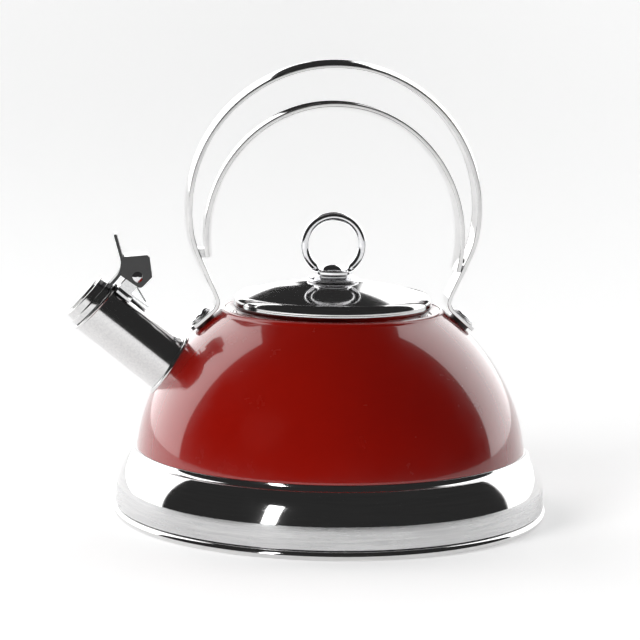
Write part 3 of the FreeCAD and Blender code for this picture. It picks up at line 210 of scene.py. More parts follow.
class Nodes:
    def __init__(self, name):
        self.mat = bpy.data.materials.new(name)
        self.mat.use_nodes = True
        self.t = self.mat.node_tree
        self.t.nodes.clear()
        self.out = self.t.nodes.new("ShaderNodeOutputMaterial")
        self.bsdf = self.t.nodes.new("ShaderNodeBsdfPrincipled")
        self.t.links.new(self.bsdf.outputs[0], self.out.inputs[0])
        self.co = self.t.nodes.new("ShaderNodeTexCoord").outputs["Object"]

    def link(self, a, b):
        self.t.links.new(a, b)

    def set(self, **kw):
        for k, v in kw.items():
            self.bsdf.inputs[k.replace("_", " ")].default_value = v

    def noise(self, scale, detail=3.0, rough=0.5, vec=None, distortion=0.0):
        n = self.t.nodes.new("ShaderNodeTexNoise")
        n.inputs["Scale"].default_value = scale
        n.inputs["Detail"].default_value = detail
        n.inputs["Roughness"].default_value = rough
        n.inputs["Distortion"].default_value = distortion
        self.link(vec if vec is not None else self.co, n.inputs["Vector"])
        return n.outputs["Fac"]

    def ramp(self, fac, stops):
        r = self.t.nodes.new("ShaderNodeValToRGB")
        self.link(fac, r.inputs[0])
        el = r.color_ramp.elements
        el[0].position, el[0].color = stops[0][0], (*stops[0][1], 1)
        el[1].position, el[1].color = stops[-1][0], (*stops[-1][1], 1)
        for p, c in stops[1:-1]:
            e = el.new(p)
            e.color = (*c, 1)
        return r.outputs[0]

    def math(self, op, a, b=None, c=None, clamp=False):
        m = self.t.nodes.new("ShaderNodeMath")
        m.operation = op
        m.use_clamp = clamp
        for i, v in enumerate((a, b, c)):
            if v is None:
                continue
            if isinstance(v, (int, float)):
                m.inputs[i].default_value = v
            else:
                self.link(v, m.inputs[i])
        return m.outputs[0]

    def remap(self, fac, lo, hi, a=0.0, b=1.0):
        m = self.t.nodes.new("ShaderNodeMapRange")
        self.link(fac, m.inputs[0])
        for i, v in enumerate((a, b, lo, hi)):
            m.inputs[i + 1].default_value = v
        return m.outputs[0]

    def mix(self, fac, a, b):
        m = self.t.nodes.new("ShaderNodeMix")
        m.data_type = "RGBA"
        self.link(fac, m.inputs[0])
        for i, v in ((6, a), (7, b)):
            if isinstance(v, tuple):
                m.inputs[i].default_value = (*v, 1)
            else:
                self.link(v, m.inputs[i])
        return m.outputs[2]

    def bump(self, height, strength, distance, normal=None):
        b = self.t.nodes.new("ShaderNodeBump")
        b.inputs["Strength"].default_value = strength
        b.inputs["Distance"].default_value = distance
        self.link(height, b.inputs["Height"])
        if normal is not None:
            self.link(normal, b.inputs["Normal"])
        return b.outputs[0]

    def polar(self, k_r, k_z, k_a, centre=(0, 0, 0), rot=None):
        """Vector (radius, height, angle) scaled, for grain that runs round the local Z axis."""
        src = self.co
        if rot is not None:
            m = self.t.nodes.new("ShaderNodeMapping")
            m.vector_type = "TEXTURE"
            m.inputs["Location"].default_value = centre
            m.inputs["Rotation"].default_value = rot
            self.link(src, m.inputs["Vector"])
            src = m.outputs[0]
        s = self.t.nodes.new("ShaderNodeSeparateXYZ")
        self.link(src, s.inputs[0])
        x, y, z = s.outputs
        r = self.math("SQRT", self.math("ADD", self.math("MULTIPLY", x, x), self.math("MULTIPLY", y, y)))
        a = self.math("ARCTAN2", y, x)
        c = self.t.nodes.new("ShaderNodeCombineXYZ")
        self.link(self.math("MULTIPLY", r, k_r), c.inputs[0])
        self.link(self.math("MULTIPLY", z, k_z), c.inputs[1])
        self.link(self.math("MULTIPLY", a, k_a), c.inputs[2])
        return c.outputs[0]

    def stretch(self, sx, sy, sz):
        m = self.t.nodes.new("ShaderNodeMapping")
        m.inputs["Scale"].default_value = (sx, sy, sz)
        self.link(self.co, m.inputs["Vector"])
        return m.outputs[0]


def enamel(name, colour, dark):
    n = Nodes(name)
    n.set(Metallic=0.0, Coat_Weight=1.0, Coat_Roughness=0.02, Coat_IOR=1.5, IOR=1.5, Specular_IOR_Level=0.3)
    cloud = n.noise(14.0, 3.0, 0.55)
    speck = n.noise(2600.0, 1.0, 0.5)
    col = n.mix(n.remap(cloud, 0.0, 1.0, 0.3, 0.7), colour, dark)
    col = n.mix(n.math("MULTIPLY", n.remap(speck, 0.0, 1.0, 0.70, 0.86), 0.12), col, (colour[0] * 0.45, colour[1], colour[2]))
    n.link(col, n.bsdf.inputs["Base Color"])
    n.link(n.remap(n.noise(60.0, 4.0, 0.6), 0.16, 0.3, 0.25, 0.75), n.bsdf.inputs["Roughness"])
    peel = n.noise(260.0, 2.0, 0.5)
    wave = n.noise(24.0, 1.0, 0.4)
    nm = n.bump(wave, 0.05, 0.0012)
    nm = n.bump(peel, 0.03, 0.00012, nm)
    n.link(nm, n.bsdf.inputs["Normal"])
    n.link(nm, n.bsdf.inputs["Coat Normal"])
    return n.mat


def steel(name, rough=(0.05, 0.11), tint=(0.74, 0.735, 0.73), grain=None, grain_bump=0.0, scratches=0.25, wear=0.0):
    n = Nodes(name)
    n.set(Metallic=1.0)
    vec = None
    if grain == "round":
        vec = n.polar(900.0, 900.0, 5.0)
    elif grain == "x":
        vec = n.stretch(18.0, 1500.0, 60.0)
    elif grain == "y":
        vec = n.stretch(60.0, 18.0, 60.0)
    cloud = n.noise(26.0, 4.0, 0.6)
    fine = n.noise(1.0 if vec is not None else 900.0, 3.0, 0.65, vec)
    smudge = n.noise(9.0, 5.0, 0.65, distortion=0.6)
    lo, hi = rough
    base = n.remap(cloud, lo, hi, 0.3, 0.72)
    extra = n.math("MULTIPLY", n.remap(fine, 0.0, 1.0, 0.35, 0.75), (hi - lo) * 0.8)
    haze = n.math("MULTIPLY", n.remap(smudge, 0.0, 1.0, 0.55, 0.8), 0.05)
    n.link(n.math("ADD", n.math("ADD", base, extra), haze), n.bsdf.inputs["Roughness"])
    dk = (tint[0] * 0.86, tint[1] * 0.86, tint[2] * 0.87)
    n.link(n.mix(n.remap(fine, 0.0, 1.0, 0.3, 0.7), tint, dk), n.bsdf.inputs["Base Color"])
    nm = None
    if grain_bump > 0:
        nm = n.bump(fine, grain_bump, 0.00006)
    if scratches > 0:
        sv = n.stretch(70.0, 900.0, 260.0)
        s1 = n.remap(n.noise(1.0, 2.0, 0.5, sv, 0.8), 0.0, 1.0, 0.68, 0.76)
        nm = n.bump(s1, scratches * 0.12, 0.00004, nm)
    if nm is not None:
        n.link(nm, n.bsdf.inputs["Normal"])
    return n.mat


def plastic(name, colour, rough=(0.12, 0.24), bump=0.05):
    n = Nodes(name)
    n.set(Metallic=0.0, IOR=1.5, Coat_Weight=0.35, Coat_Roughness=0.05)
    cloud = n.noise(120.0, 4.0, 0.6)
    fine = n.noise(1800.0, 2.0, 0.5)
    n.link(n.mix(n.remap(cloud, 0.0, 1.0, 0.3, 0.7), colour, tuple(c * 1.9 + 0.002 for c in colour)), n.bsdf.inputs["Base Color"])
    n.link(n.remap(cloud, rough[0], rough[1], 0.3, 0.7), n.bsdf.inputs["Roughness"])
    n.link(n.bump(fine, bump, 0.00008), n.bsdf.inputs["Normal"])
    return n.mat


RED = enamel("red_enamel_gloss", (0.300, 0.0042, 0.0006), (0.262, 0.0032, 0.0005))
MIRROR = steel("steel_polished", (0.035, 0.075), grain="round", grain_bump=0.02, scratches=0.3)
BRUSHED = steel("steel_brushed_round", (0.20, 0.28), (0.70, 0.70, 0.70), grain="round", grain_bump=0.35, scratches=0.5)
LIDMAT = steel("steel_lid_spun", (0.05, 0.10), grain="round", grain_bump=0.05, scratches=0.4)
BAND = steel("steel_band_polished", (0.05, 0.10), grain="y", grain_bump=0.03, scratches=0.4)
TUBE = steel("steel_tube_polished", (0.06, 0.13), scratches=0.5)
SATIN = steel("steel_satin_inside", (0.30, 0.42), (0.56, 0.56, 0.57), grain="round", grain_bump=0.3, scratches=0.3)
CHROME = steel("chrome_bright", (0.02, 0.05), (0.80, 0.80, 0.81), scratches=0.2)
ALU = steel("aluminium_disc", (0.34, 0.46), (0.72, 0.72, 0.73), grain="round", grain_bump=0.3)
SPRING = steel("spring_wire", (0.2, 0.32), (0.46, 0.46, 0.47))
FIXING = steel("steel_fixing", (0.10, 0.2), (0.70, 0.70, 0.70), scratches=0.8)
BLACK = plastic("black_gloss_plastic", (0.006, 0.006, 0.0065))
RUBBER = plastic("seal_rubber", (0.02, 0.02, 0.02), (0.6, 0.75), 0.3)

# ---------------------------------------------------------------------------
# Base
# ---------------------------------------------------------------------------
base_r, bead = 110.0, 4.8
cap_loop = [
    (0.0, 0.0, None), (26.0, 0.0, None), (26.4, 0.35, None), (27.6, 0.35, None), (28.0, 0.0, None),
    (52.0, 0.0, None), (52.4, 0.35, None), (53.6, 0.35, None), (54.0, 0.0, None),
    (78.0, 0.0, None), (78.4, 0.35, None), (79.6, 0.35, None), (80.0, 0.0, None),
    (107.6, 0.0, (2.4, 1)), (109.9, 2.4, (2.4, 1)), (107.6, 4.8, None), (105.1, 4.8, None), (105.1, 0.9, None), (0.0, 0.9, None)]
place("kettle", "steel", lathe("base_cap_visual", cap_loop, (MIRROR, BRUSHED), 256, longest=6.0,
      pick=lambda r, z, nr, nz: 1 if r < 104 else 0), "base_cap")
pan_loop = [
    (0.0, 5.0, None), (108.0, 5.0, (0.6, 1)), (108.6, 5.6, None), (108.0, 16.2, (40.0, 1)), (100.9, 31.0, (3.6, -1)),
    (98.45, 33.8, None), (97.35, 33.8, None), (96.2, 41.0, None), (95.45, 41.0, None), (96.55, 32.9, None),
    (99.75, 30.05, (39.2, -1)), (107.2, 16.0, None), (107.8, 8.2, (2.4, -1)), (105.4, 5.8, None), (0.0, 5.8, None)]


def pan_pick(r, z, nr, nz):
    if nr > 0.3 and r > 107.9 and z < 16.2:
        return 1
    if (nr < 0 or nz > 0.9) and z < 33:
        return 2
    return 0


place("kettle", "steel", lathe("base_pan_visual", pan_loop, (MIRROR, BRUSHED, SATIN), 320, soft=0.25, longest=4.0, pick=pan_pick), "base_pan")
for o in [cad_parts["base_heat_spreader"]]:
    o.data.materials.clear()
    o.data.materials.append(ALU)

# ---------------------------------------------------------------------------
# Dome
# ---------------------------------------------------------------------------
lx, lz, lr = 10.4, 24.5, 88.4
hx, hz, hr = -9.9, 13.5, 111.49
W = 0.8


def on_low(z, off=0.0):
    return lx + math.sqrt((lr - off) ** 2 - (z - lz) ** 2)


def on_high(r, off=0.0):
    return hz + math.sqrt((hr - off) ** 2 - (r - hx) ** 2)


reach = math.hypot(lx - hx, lz - hz)
jx, jz = lx + lr * (lx - hx) / reach, lz + lr * (lz - hz) / reach
jxi, jzi = lx + (lr - W) * (lx - hx) / reach, lz + (lr - W) * (lz - hz) / reach
r_on = 57.2
z_on = on_high(r_on)
dome_loop = [
    (on_low(33.9), 33.9, (lr, 1)), (jx, jz, (hr, 1)), (r_on, z_on, (3.6, 1)),
    (54.2, 104.18, (3.0, 1)), (52.4, 103.2, None), (50.6, 101.65, (1.2, -1)), (49.6, 101.4, None), (47.3, 101.4, (0.8, 1)),
    (46.5, 100.6, None), (46.5, 93.0, None), (47.3, 93.0, None), (47.3, 100.4, None), (50.8, 100.45, None), (53.0, 102.5, (2.0, -1)),
    (r_on - 0.5, on_high(r_on - 0.5, W), (hr - W, -1)), (jxi, jzi, (lr - W, -1)), (on_low(33.9, W), 33.9, None)]
# the outer skin is enamel; the inside, the seat and the neck are bare steel
dome = lathe("body_dome_visual", dome_loop, (RED, SATIN), 384, soft=0.3, longest=2.0,
             pick=lambda r, z, nr, nz: 0 if (nz > 0.05 or nr > 0.3) and not (r < 48 and z < 100.9) else 1)

el = RAD(38.9)
U = Vector((-math.cos(el), 0, math.sin(el)))
NN = Vector((math.sin(el), 0, math.cos(el)))
O = Vector((-83.9, 0, 76.3))


def axes_matrix(x, z, o):
    y = z.cross(x)
    return Matrix(((x.x, y.x, z.x, o.x), (x.y, y.y, z.y, o.y), (x.z, y.z, z.z, o.z), (0, 0, 0, 1)))


SPOUT = axes_matrix(NN, U, O)
mt = RAD(3.5)
MZ = (U * math.cos(mt) + NN * math.sin(mt)).normalized()
MX = (NN * math.cos(mt) - U * math.sin(mt)).normalized()
MOUTH = axes_matrix(MX, MZ, O + U * 45.3)

sr = 64.3
sz = hz + math.sqrt(hr ** 2 - (sr - hx) ** 2)
nrm = Vector((sr - hx, 0, sz - hz)).normalized()
fdir = Vector((nrm.z, 0, -nrm.x))
SCREW_R = axes_matrix(fdir, nrm, Vector((sr, 0, sz)))
nl = Vector((-nrm.x, 0, nrm.z))
SCREW_L = axes_matrix(Vector((nl.z, 0, -nl.x)), nl, Vector((-sr, 0, sz)))


def cutter(name, r, z0, z1, m, seg=96):
    return lathe(name, [(0, z0, None), (r, z0, None), (r, z1, None), (0, z1, None)], (), seg, m, soft=0.0, longest=99)


carve(dome, [cutter("cut_port", 13.4, -25, 15, SPOUT), cutter("cut_r", 2.6, -10, 10, SCREW_R, 32), cutter("cut_l", 2.6, -10, 10, SCREW_L, 32)])
place("kettle", "red_enamel", dome, "body_dome")

# ---------------------------------------------------------------------------
# Spout tube, flange
# ---------------------------------------------------------------------------


def dome_hit(radius, ang, off=0.0):
    """Distance along the spout axis where a line at that radius and angle leaves the dome."""
    lo, hi = -30.0, 30.0
    for _ in range(40):
        m = (lo + hi) / 2
        p = SPOUT @ Vector((radius * math.cos(ang), radius * math.sin(ang), m))
        r = math.hypot(p.x, p.y)
        z = p.z
        if z > jz and (r - hx) * (jz - hz) < (z - hz) * (jx - hx):
            inside = math.hypot(r - hx, z - hz) < hr + off
        else:
            inside = math.hypot(r - lx, z - lz) < lr + off
        if inside:
            lo = m
        else:
            hi = m
    return (lo + hi) / 2


def mouth_z(radius, ang, back=0.85):
    """Height along the spout axis of the mouth plane at that radius and angle."""
    x = radius * math.cos(ang)
    return 45.3 - back / math.cos(mt) - x * math.tan(mt)


def tube_mesh():
    bm = bmesh.new()
    seg = 160
    rows = []
    lipn = 14
    for j in range(seg):
        a = 2 * math.pi * j / seg
        pts = []
        ro, ri = 14.75, 13.95
        z0 = dome_hit(ro, a, 0.0)
        zm = mouth_z(ro, a)
        for t in range(25):
            pts.append((ro, z0 + (zm - 0.7 - z0) * t / 24))
        for t in range(lipn + 1):
            b = RAD(-35 + 235 * t / lipn)
            pts.append((14.65 + 0.85 * math.cos(b), zm + 0.85 * math.sin(b)))
        zi = dome_hit(ri, a, 0.0)
        for t in range(25):
            pts.append((ri, zm - 0.6 + (zi - zm + 0.6) * t / 24))
        rows.append([bm.verts.new((r * math.cos(a), r * math.sin(a), z)) for r, z in pts])
    m = len(rows[0])
    for j in range(seg):
        k = (j + 1) % seg
        for i in range(m):
            l = (i + 1) % m
            bm.faces.new((rows[j][i], rows[k][i], rows[k][l], rows[j][l]))
    return finish_mesh("spout_tube_visual", bm, SPOUT, 50, (TUBE,))


place("kettle", "steel", tube_mesh(), "spout_tube")


def flange_mesh():
    bm = bmesh.new()
    seg = 160
    rows = []
    for j in range(seg):
        a = 2 * math.pi * j / seg
        pts = []
        sec = [(14.78, 0.0), (14.78, 0.95), (14.95, 1.1), (15.9, 1.1), (16.5, 0.95), (16.85, 0.6), (16.9, 0.2), (16.9, 0.0)]
        for r, off in sec:
            pts.append((r, dome_hit(r, a, off)))
        rows.append([bm.verts.new((r * math.cos(a), r * math.sin(a), z)) for r, z in pts])
    m = len(rows[0])
    for j in range(seg):
        k = (j + 1) % seg
        for i in range(m):
            l = (i + 1) % m
            bm.faces.new((rows[j][i], rows[k][i], rows[k][l], rows[j][l]))
    return finish_mesh("spout_flange_visual", bm, SPOUT, 50, (TUBE,))


place("kettle", "steel", flange_mesh(), "spout_flange")

# ---------------------------------------------------------------------------
# Whistle head
# ---------------------------------------------------------------------------
cap_prof = [
    (13.3, 0.5, None), (14.0, 0.5, None), (14.0, 2.9, (0.5, 1)), (13.5, 3.4, None), (13.3, 3.4, (0.3, -1)), (13.0, 3.7, None),
    (13.0, 6.6, (0.8, 1)), (12.2, 7.4, None), (8.6, 7.4, None), (8.6, 6.8, None), (12.0, 6.8, (0.4, -1)), (12.3, 6.5, None),
    (12.3, 2.7, None), (13.3, 2.7, None)]
cap = lathe("whistle_cap_visual", cap_prof, (TUBE,), 128, MOUTH, soft=0.15)


def box_piece(name, x0, x1, y0, y1, z0, z1, m):
    bm = bmesh.new()
    vs = [bm.verts.new((x, y, z)) for x in (x0, x1) for y in (y0, y1) for z in (z0, z1)]
    for f in ((0, 1, 3, 2), (4, 6, 7, 5), (0, 4, 5, 1), (2, 3, 7, 6), (0, 2, 6, 4), (1, 5, 7, 3)):
        bm.faces.new([vs[i] for i in f])
    return finish_mesh(name, bm, m)


carve(cap, [box_piece("cut_notch", 7.5, 16.2, -7.55, 7.55, 1.06, 2.64, MOUTH)])
place("whistle_lever_body", "steel", cap, "whistle_cap")
seatp = [(3.0, -2.4, None), (11.3, -2.4, (0.6, 1)), (11.9, -1.8, None), (11.9, 0.5, None), (13.28, 0.5, None), (13.28, 1.08, None),
         (11.6, 1.08, (0.3, 1)), (11.3, 0.78, None), (11.3, -1.8, None), (3.0, -1.8, None)]
place("whistle_lever_body", "steel", lathe("whistle_seat_visual", seatp, (SATIN,), 128, MOUTH, soft=0.12), "whistle_seat_plate")
topp = [(1.6, 7.95, None), (7.9, 7.95, None), (7.9, 6.2, None), (8.57, 6.2, None), (8.57, 7.95, None), (9.55, 7.95, (0.275, 1)),
        (9.55, 8.5, None), (3.2, 8.5, None), (2.0, 8.3, None), (1.6, 8.3, None)]
place("whistle_lever_body", "steel", lathe("whistle_top_visual", topp, (TUBE,), 128, MOUTH, soft=0.12), "whistle_top_plate")

# ---------------------------------------------------------------------------
# Lid and knob
# ---------------------------------------------------------------------------
LA, LR = 118.0, 162.6


def lid_z(r, off=0.0):
    return LA - LR + math.sqrt((LR - off) ** 2 - r * r)


ler, lrr, lrz = 47.2, 49.9, 106.7
lid_loop = [
    (48.0, 101.5, None), (lrr - 0.35, lrz - 2.1, (3.2, 1)), (lrr, lrz, (5.2, 1)), (ler + 0.5, lid_z(ler) + 0.18, (1.2, 1)),
    (ler, lid_z(ler), (LR, 1)), (2.6, lid_z(2.6), None), (2.6, lid_z(2.6, 0.8), (LR - 0.8, -1)),
    (ler - 0.5, lid_z(ler - 0.5, 0.8), (3.0, -1)), (lrr - 1.6, lrz + 1.6, None), (lrr - 0.8, lrz, None), (lrr - 1.1, lrz - 2.0, None),
    (47.25, 101.5, None)]
place("lid", "steel", lathe("lid_visual", lid_loop, (LIDMAT, SATIN), 320, soft=0.2, longest=2.5,
      pick=lambda r, z, nr, nz: 0 if (nz > 0.02 or nr > 0.3) else 1), "lid_shell")
cr = 45.2
col_loop = [(cr - 0.7, 94.5, None), (cr, 94.5, None), (cr, lid_z(cr, 0.85) - 0.1, None), (cr - 3.6, lid_z(cr - 3.6, 0.85), None),
            (cr - 3.6, lid_z(cr - 3.6, 0.85) - 0.8, None), (cr - 0.7, lid_z(cr, 0.85) - 0.95, None)]
place("lid", "steel", lathe("lid_collar_visual", col_loop, (SATIN,), 192, soft=0.15, longest=4), "lid_collar")
kn, kf, kb = 8.8, 9.9, 13.2
kbs = kb - 0.7
knob_loop = [(1.95, lid_z(1.95) + 0.02, (LR, -1)), (kbs, lid_z(kbs) + 0.02, (0.9, 1)), (kb, 118.35, (1.0, 1)), (kb - 1.1, 119.15, None),
             (kn + 0.9, 119.75, (0.9, -1)), (kn, 120.2, None), (kn, 120.68, None), (1.95, 120.68, None)]
place("lid", "chrome", lathe("knob_base_visual", knob_loop, (CHROME,), 128, soft=0.2, longest=2.0), "knob_base")
kcap_loop = [(1.9, 120.7, None), (8.9, 120.7, None), (9.55, 121.05, (0.9, 1)), (9.9, 121.7, None), (9.9, 122.7, (0.5, 1)), (9.4, 123.2, None),
             (7.3, 123.2, None), (7.3, 123.45, (13.0, 1)), (0.8, 125.8, None), (0.0, 125.8, None), (0.0, 123.7, None), (1.9, 123.7, None)]
place("lid", "chrome", lathe("knob_cap_visual", kcap_loop, (CHROME,), 128, soft=0.15, longest=2.0), "knob_cap")


def ring_mesh():
    n = 150
    a0, a1 = RAD(-90 + 41.0), RAD(270 - 41.0)
    frames = []
    c = Vector((0, 0, 135.8))
    for i in range(n + 1):
        a = a0 + (a1 - a0) * i / n
        rad = Vector((math.cos(a), 0, math.sin(a)))
        frames.append((c + rad * 14.4, Vector((0, 1, 0)), rad))
    # feet: the wire turns straight down on to the flange
    def foot(a, s):
        rad = Vector((math.cos(a), 0, math.sin(a)))
        p = c + rad * 14.4
        end = Vector((s * 9.0, 0, 123.24))
        out = []
        for k in range(1, 6):
            f = k / 5
            q = p.lerp(end, f)
            ax = (rad.lerp(Vector((s, 0, 0)), f)).normalized()
            out.append((q, Vector((0, 1, 0)), ax, 1 - 0.06 * f))
        return out
    fr = [(o, e, r, 1.0) for o, e, r in frames]
    fr = foot(a0, 1)[::-1] + fr + foot(a1, -1)
    def section(i):
        k = fr[i][3] * 2.075
        return [(k * math.cos(2 * math.pi * t / 40), k * math.sin(2 * math.pi * t / 40)) for t in range(40)]
    return sweep("knob_ring_visual", [(o, e, r) for o, e, r, k in fr], section, (CHROME,))


place("lid", "chrome", ring_mesh(), "knob_ring")

# ---------------------------------------------------------------------------
# Handle bands
# ---------------------------------------------------------------------------
HW, T2 = 10.0, 1.0


def band_section(hw, c, rnd=0.32, nn=22):
    """Closed outline of a crowned strip with eased edges; c > 0 bows outwards."""
    def bow(y):
        return c * (1 - (y / HW) ** 2)
    pts = []
    for i in range(nn + 1):
        y = -(hw - rnd) + 2 * (hw - rnd) * i / nn
        pts.append((y, T2 + bow(y)))
    for i in range(1, 6):
        a = math.pi / 2 * (1 - i / 6)
        pts.append((hw - rnd + rnd * math.cos(a), T2 - rnd + bow(hw) + rnd * math.sin(a)))
    pts.append((hw, T2 - rnd + bow(hw)))
    pts.append((hw, -T2 + rnd + bow(hw)))
    for i in range(1, 6):
        a = -math.pi / 2 * i / 6
        pts.append((hw - rnd + rnd * math.cos(a), -T2 + rnd + bow(hw) + rnd * math.sin(a)))
    for i in range(nn + 1):
        y = (hw - rnd) - 2 * (hw - rnd) * i / nn
        pts.append((y, -T2 + bow(y)))
    for i in range(1, 6):
        a = -math.pi / 2 - math.pi / 2 * i / 6
        pts.append((-hw + rnd + rnd * math.cos(a), -T2 + rnd + bow(hw) + rnd * math.sin(a)))
    pts.append((-hw, -T2 + rnd + bow(hw)))
    pts.append((-hw, T2 - rnd + bow(hw)))
    for i in range(1, 6):
        a = math.pi - math.pi / 2 * i / 6
        pts.append((-hw + rnd + rnd * math.cos(a), T2 - rnd + bow(hw) + rnd * math.sin(a)))
    return pts


R1, R2 = 72.1, 47.1
oc = 153.4
a1x, a1z = R1 * math.cos(RAD(8)), oc - R1 * math.sin(RAD(8))
a2x, a2z = a1x - R2 * (math.cos(RAD(8)) - math.cos(RAD(24))), a1z - R2 * (math.sin(RAD(24)) - math.sin(RAD(8)))
tleg = Vector((-math.sin(RAD(24)), 0, -math.cos(RAD(24))))
nleg = Vector((math.cos(RAD(24)), 0, -math.sin(RAD(24))))
fpt = Vector((sr, 0, sz)) + nrm * 2.2
st = Vector((a2x - (a2z - 122.0) * math.tan(RAD(24)), 0, 122.0))
den = tleg.x * fdir.z - tleg.z * fdir.x
d0 = fpt - st
corner = st + tleg * ((d0.x * fdir.z - d0.z * fdir.x) / den)
turn = math.acos(tleg.dot(fdir))
tl = 6.0 * math.tan(turn / 2)
bs, be = corner - tleg * tl, corner + fdir * tl
fend = fpt + fdir * 7.4
path = []      # (point, outward normal, crown, half width)
for i in range(121):
    a = RAD(90 - 98 * i / 120)
    path.append((Vector((R1 * math.cos(a), 0, oc + R1 * math.sin(a))), Vector((math.cos(a), 0, math.sin(a))), 1.9, HW))
cs = Vector((a1x - R2 * math.cos(RAD(8)), 0, a1z + R2 * math.sin(RAD(8))))
for i in range(1, 17):
    a = RAD(-8 - 16 * i / 16)
    path.append((cs + Vector((math.cos(a), 0, math.sin(a))) * R2, Vector((math.cos(a), 0, math.sin(a))), 1.9, HW))
p2 = path[-1][0]
for i in range(1, 10):
    path.append((p2.lerp(st, i / 9), nleg, 1.9, HW))
for i in range(1, 13):
    f = i / 12
    path.append((st.lerp(bs, f), nleg, 1.9 * (1 - f) ** 1.0 * (1 if f < 1 else 0), HW))
bc = bs + nleg * 6.0
a_s = math.atan2((bs - bc).z, (bs - bc).x)
a_e = math.atan2((be - bc).z, (be - bc).x)
while a_e < a_s:
    a_e += 2 * math.pi
if a_e - a_s > math.pi:
    a_e -= 2 * math.pi
for i in range(1, 15):
    a = a_s + (a_e - a_s) * i / 14
    d = Vector((math.cos(a), 0, math.sin(a)))
    path.append((bc + d * 6.0, -d, 0.0, HW))
flen = (fend - be).length
stops = [s for s in (1.5, 3.0, 5.0, 7.0, 9.0) if s < flen - 6.0] + [flen - 6.0 * (1 - math.sin(RAD(90 * k / 12))) for k in range(13)]
for s_ in stops:
    s_ = min(s_, flen - 0.0)
    d = flen - s_
    hw_ = HW - (6.0 - math.sqrt(max(0.0, 36.0 - (6.0 - d) ** 2))) if d < 6.0 else HW
    path.append((be + fdir * s_, nrm, 0.0, hw_))
right = path
left = [(Vector((-p.x, 0, p.z)), Vector((-n.x, 0, n.z)), c, w) for p, n, c, w in path[1:]][::-1]
full = left + right
frames_o = [(p, Vector((0, 1, 0)), n) for p, n, c, w in full]
secs = [band_section(w, c) for p, n, c, w in full]
place("kettle", "steel", sweep("handle_outer_visual", frames_o, lambda i: secs[i], (BAND,), sharp=35), "handle_outer_band")

RT, RS = 62.2, 69.0
itc = 144.4
k45 = math.sqrt(0.5)
scx, scz = (RT - RS) * k45, itc + (RT - RS) * k45


def inner_side(z_end, sign):
    out = []
    a_end = math.asin((z_end - scz) / RS)
    n = 70
    for i in range(1, n + 1):
        a = RAD(45) + (a_end - RAD(45)) * i / n
        d = Vector((math.cos(a), 0, math.sin(a)))
        p = Vector((scx, 0, scz)) + d * RS
        out.append((Vector((sign * p.x, 0, p.z)), Vector((sign * d.x, 0, d.z))))
    return out


top = []
for i in range(-60, 61):
    a = RAD(90 - 45 * i / 60)
    d = Vector((math.cos(a), 0, math.sin(a)))
    top.append((Vector((0, 0, itc)) + d * RT, d))
inner_path = inner_side(130.4, -1)[::-1] + top + inner_side(123.8, 1)
isec = band_section(HW, -1.7)
place("kettle", "steel", sweep("handle_inner_visual", [(p, Vector((0, 1, 0)), n) for p, n in inner_path], lambda i: isec, (BAND,), sharp=35), "handle_inner_band")

# ---------------------------------------------------------------------------
# Fasteners of the handle
# ---------------------------------------------------------------------------


def join(name, obs):
    bm = bmesh.new()
    for o in obs:
        bm.from_mesh(o.data)
    me = bpy.data.meshes.new(name)
    bm.to_mesh(me)
    bm.free()
    for m in obs[0].data.materials:
        me.materials.append(m)
    me.shade_smooth()
    me.set_sharp_from_angle(angle=RAD(40))
    for o in obs:
        bpy.data.objects.remove(o, do_unlink=True)
    ob = bpy.data.objects.new(name, me)
    scene.collection.objects.link(ob)
    return ob


def pair(name, loop, mats, seg=64, soft=0.15):
    return join(name, [lathe(name + "_r", loop, mats, seg, SCREW_R, soft), lathe(name + "_l", loop, mats, seg, SCREW_L, soft)])


place("kettle", "chrome", pair("handle_screws_visual", [
    (0.0, -7.6, None), (2.0, -7.6, None), (2.5, -7.1, None), (2.5, 3.9, None), (5.5, 3.9, None), (5.5, 4.5, (6.9, 1)), (0.6, 6.1, None), (0.0, 6.1, None)],
    (CHROME,)), "handle_screws")
place("kettle", "steel", pair("handle_washers_visual", [
    (2.55, 3.2, None), (6.1, 3.2, None), (6.1, 3.65, None), (5.8, 3.9, None), (2.55, 3.9, None)], (FIXING,)), "handle_washers")

pin_o = SPOUT @ Vector((25.1, 0, 38.4))
PIN = Matrix.Translation(pin_o) @ Matrix.Rotation(RAD(-90), 4, "X")
half = 8.62
place("kettle", "steel", lathe("hinge_pin_visual", [
    (0.0, -half - 1.5, None), (0.5, -half - 1.5, (3.2, 1)), (2.7, -half - 0.35, None), (2.7, -half, None), (1.5, -half, None),
    (1.5, half, None), (2.7, half, None), (2.7, half + 0.35, (3.2, 1)), (0.5, half + 1.5, None), (0.0, half + 1.5, None)], (CHROME,), 64, PIN, 0.1), "hinge_pin")

for node, mat in {"spout_bracket": FIXING, "hinge_spring": SPRING, "whistle_lever": BLACK, "whistle_inner_plate": TUBE, "lever_rivet": FIXING,
                  "knob_screw": FIXING, "knob_washer": FIXING, "handle_weld_blocks": FIXING, "handle_spacers": RUBBER,
                  "handle_inner_seals": RUBBER, "handle_nuts": FIXING}.items():
    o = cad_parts[node]
    for i in range(max(1, len(o.material_slots))):
        if len(o.data.materials) <= i:
            o.data.materials.append(mat)
        else:
            o.data.materials[i] = mat

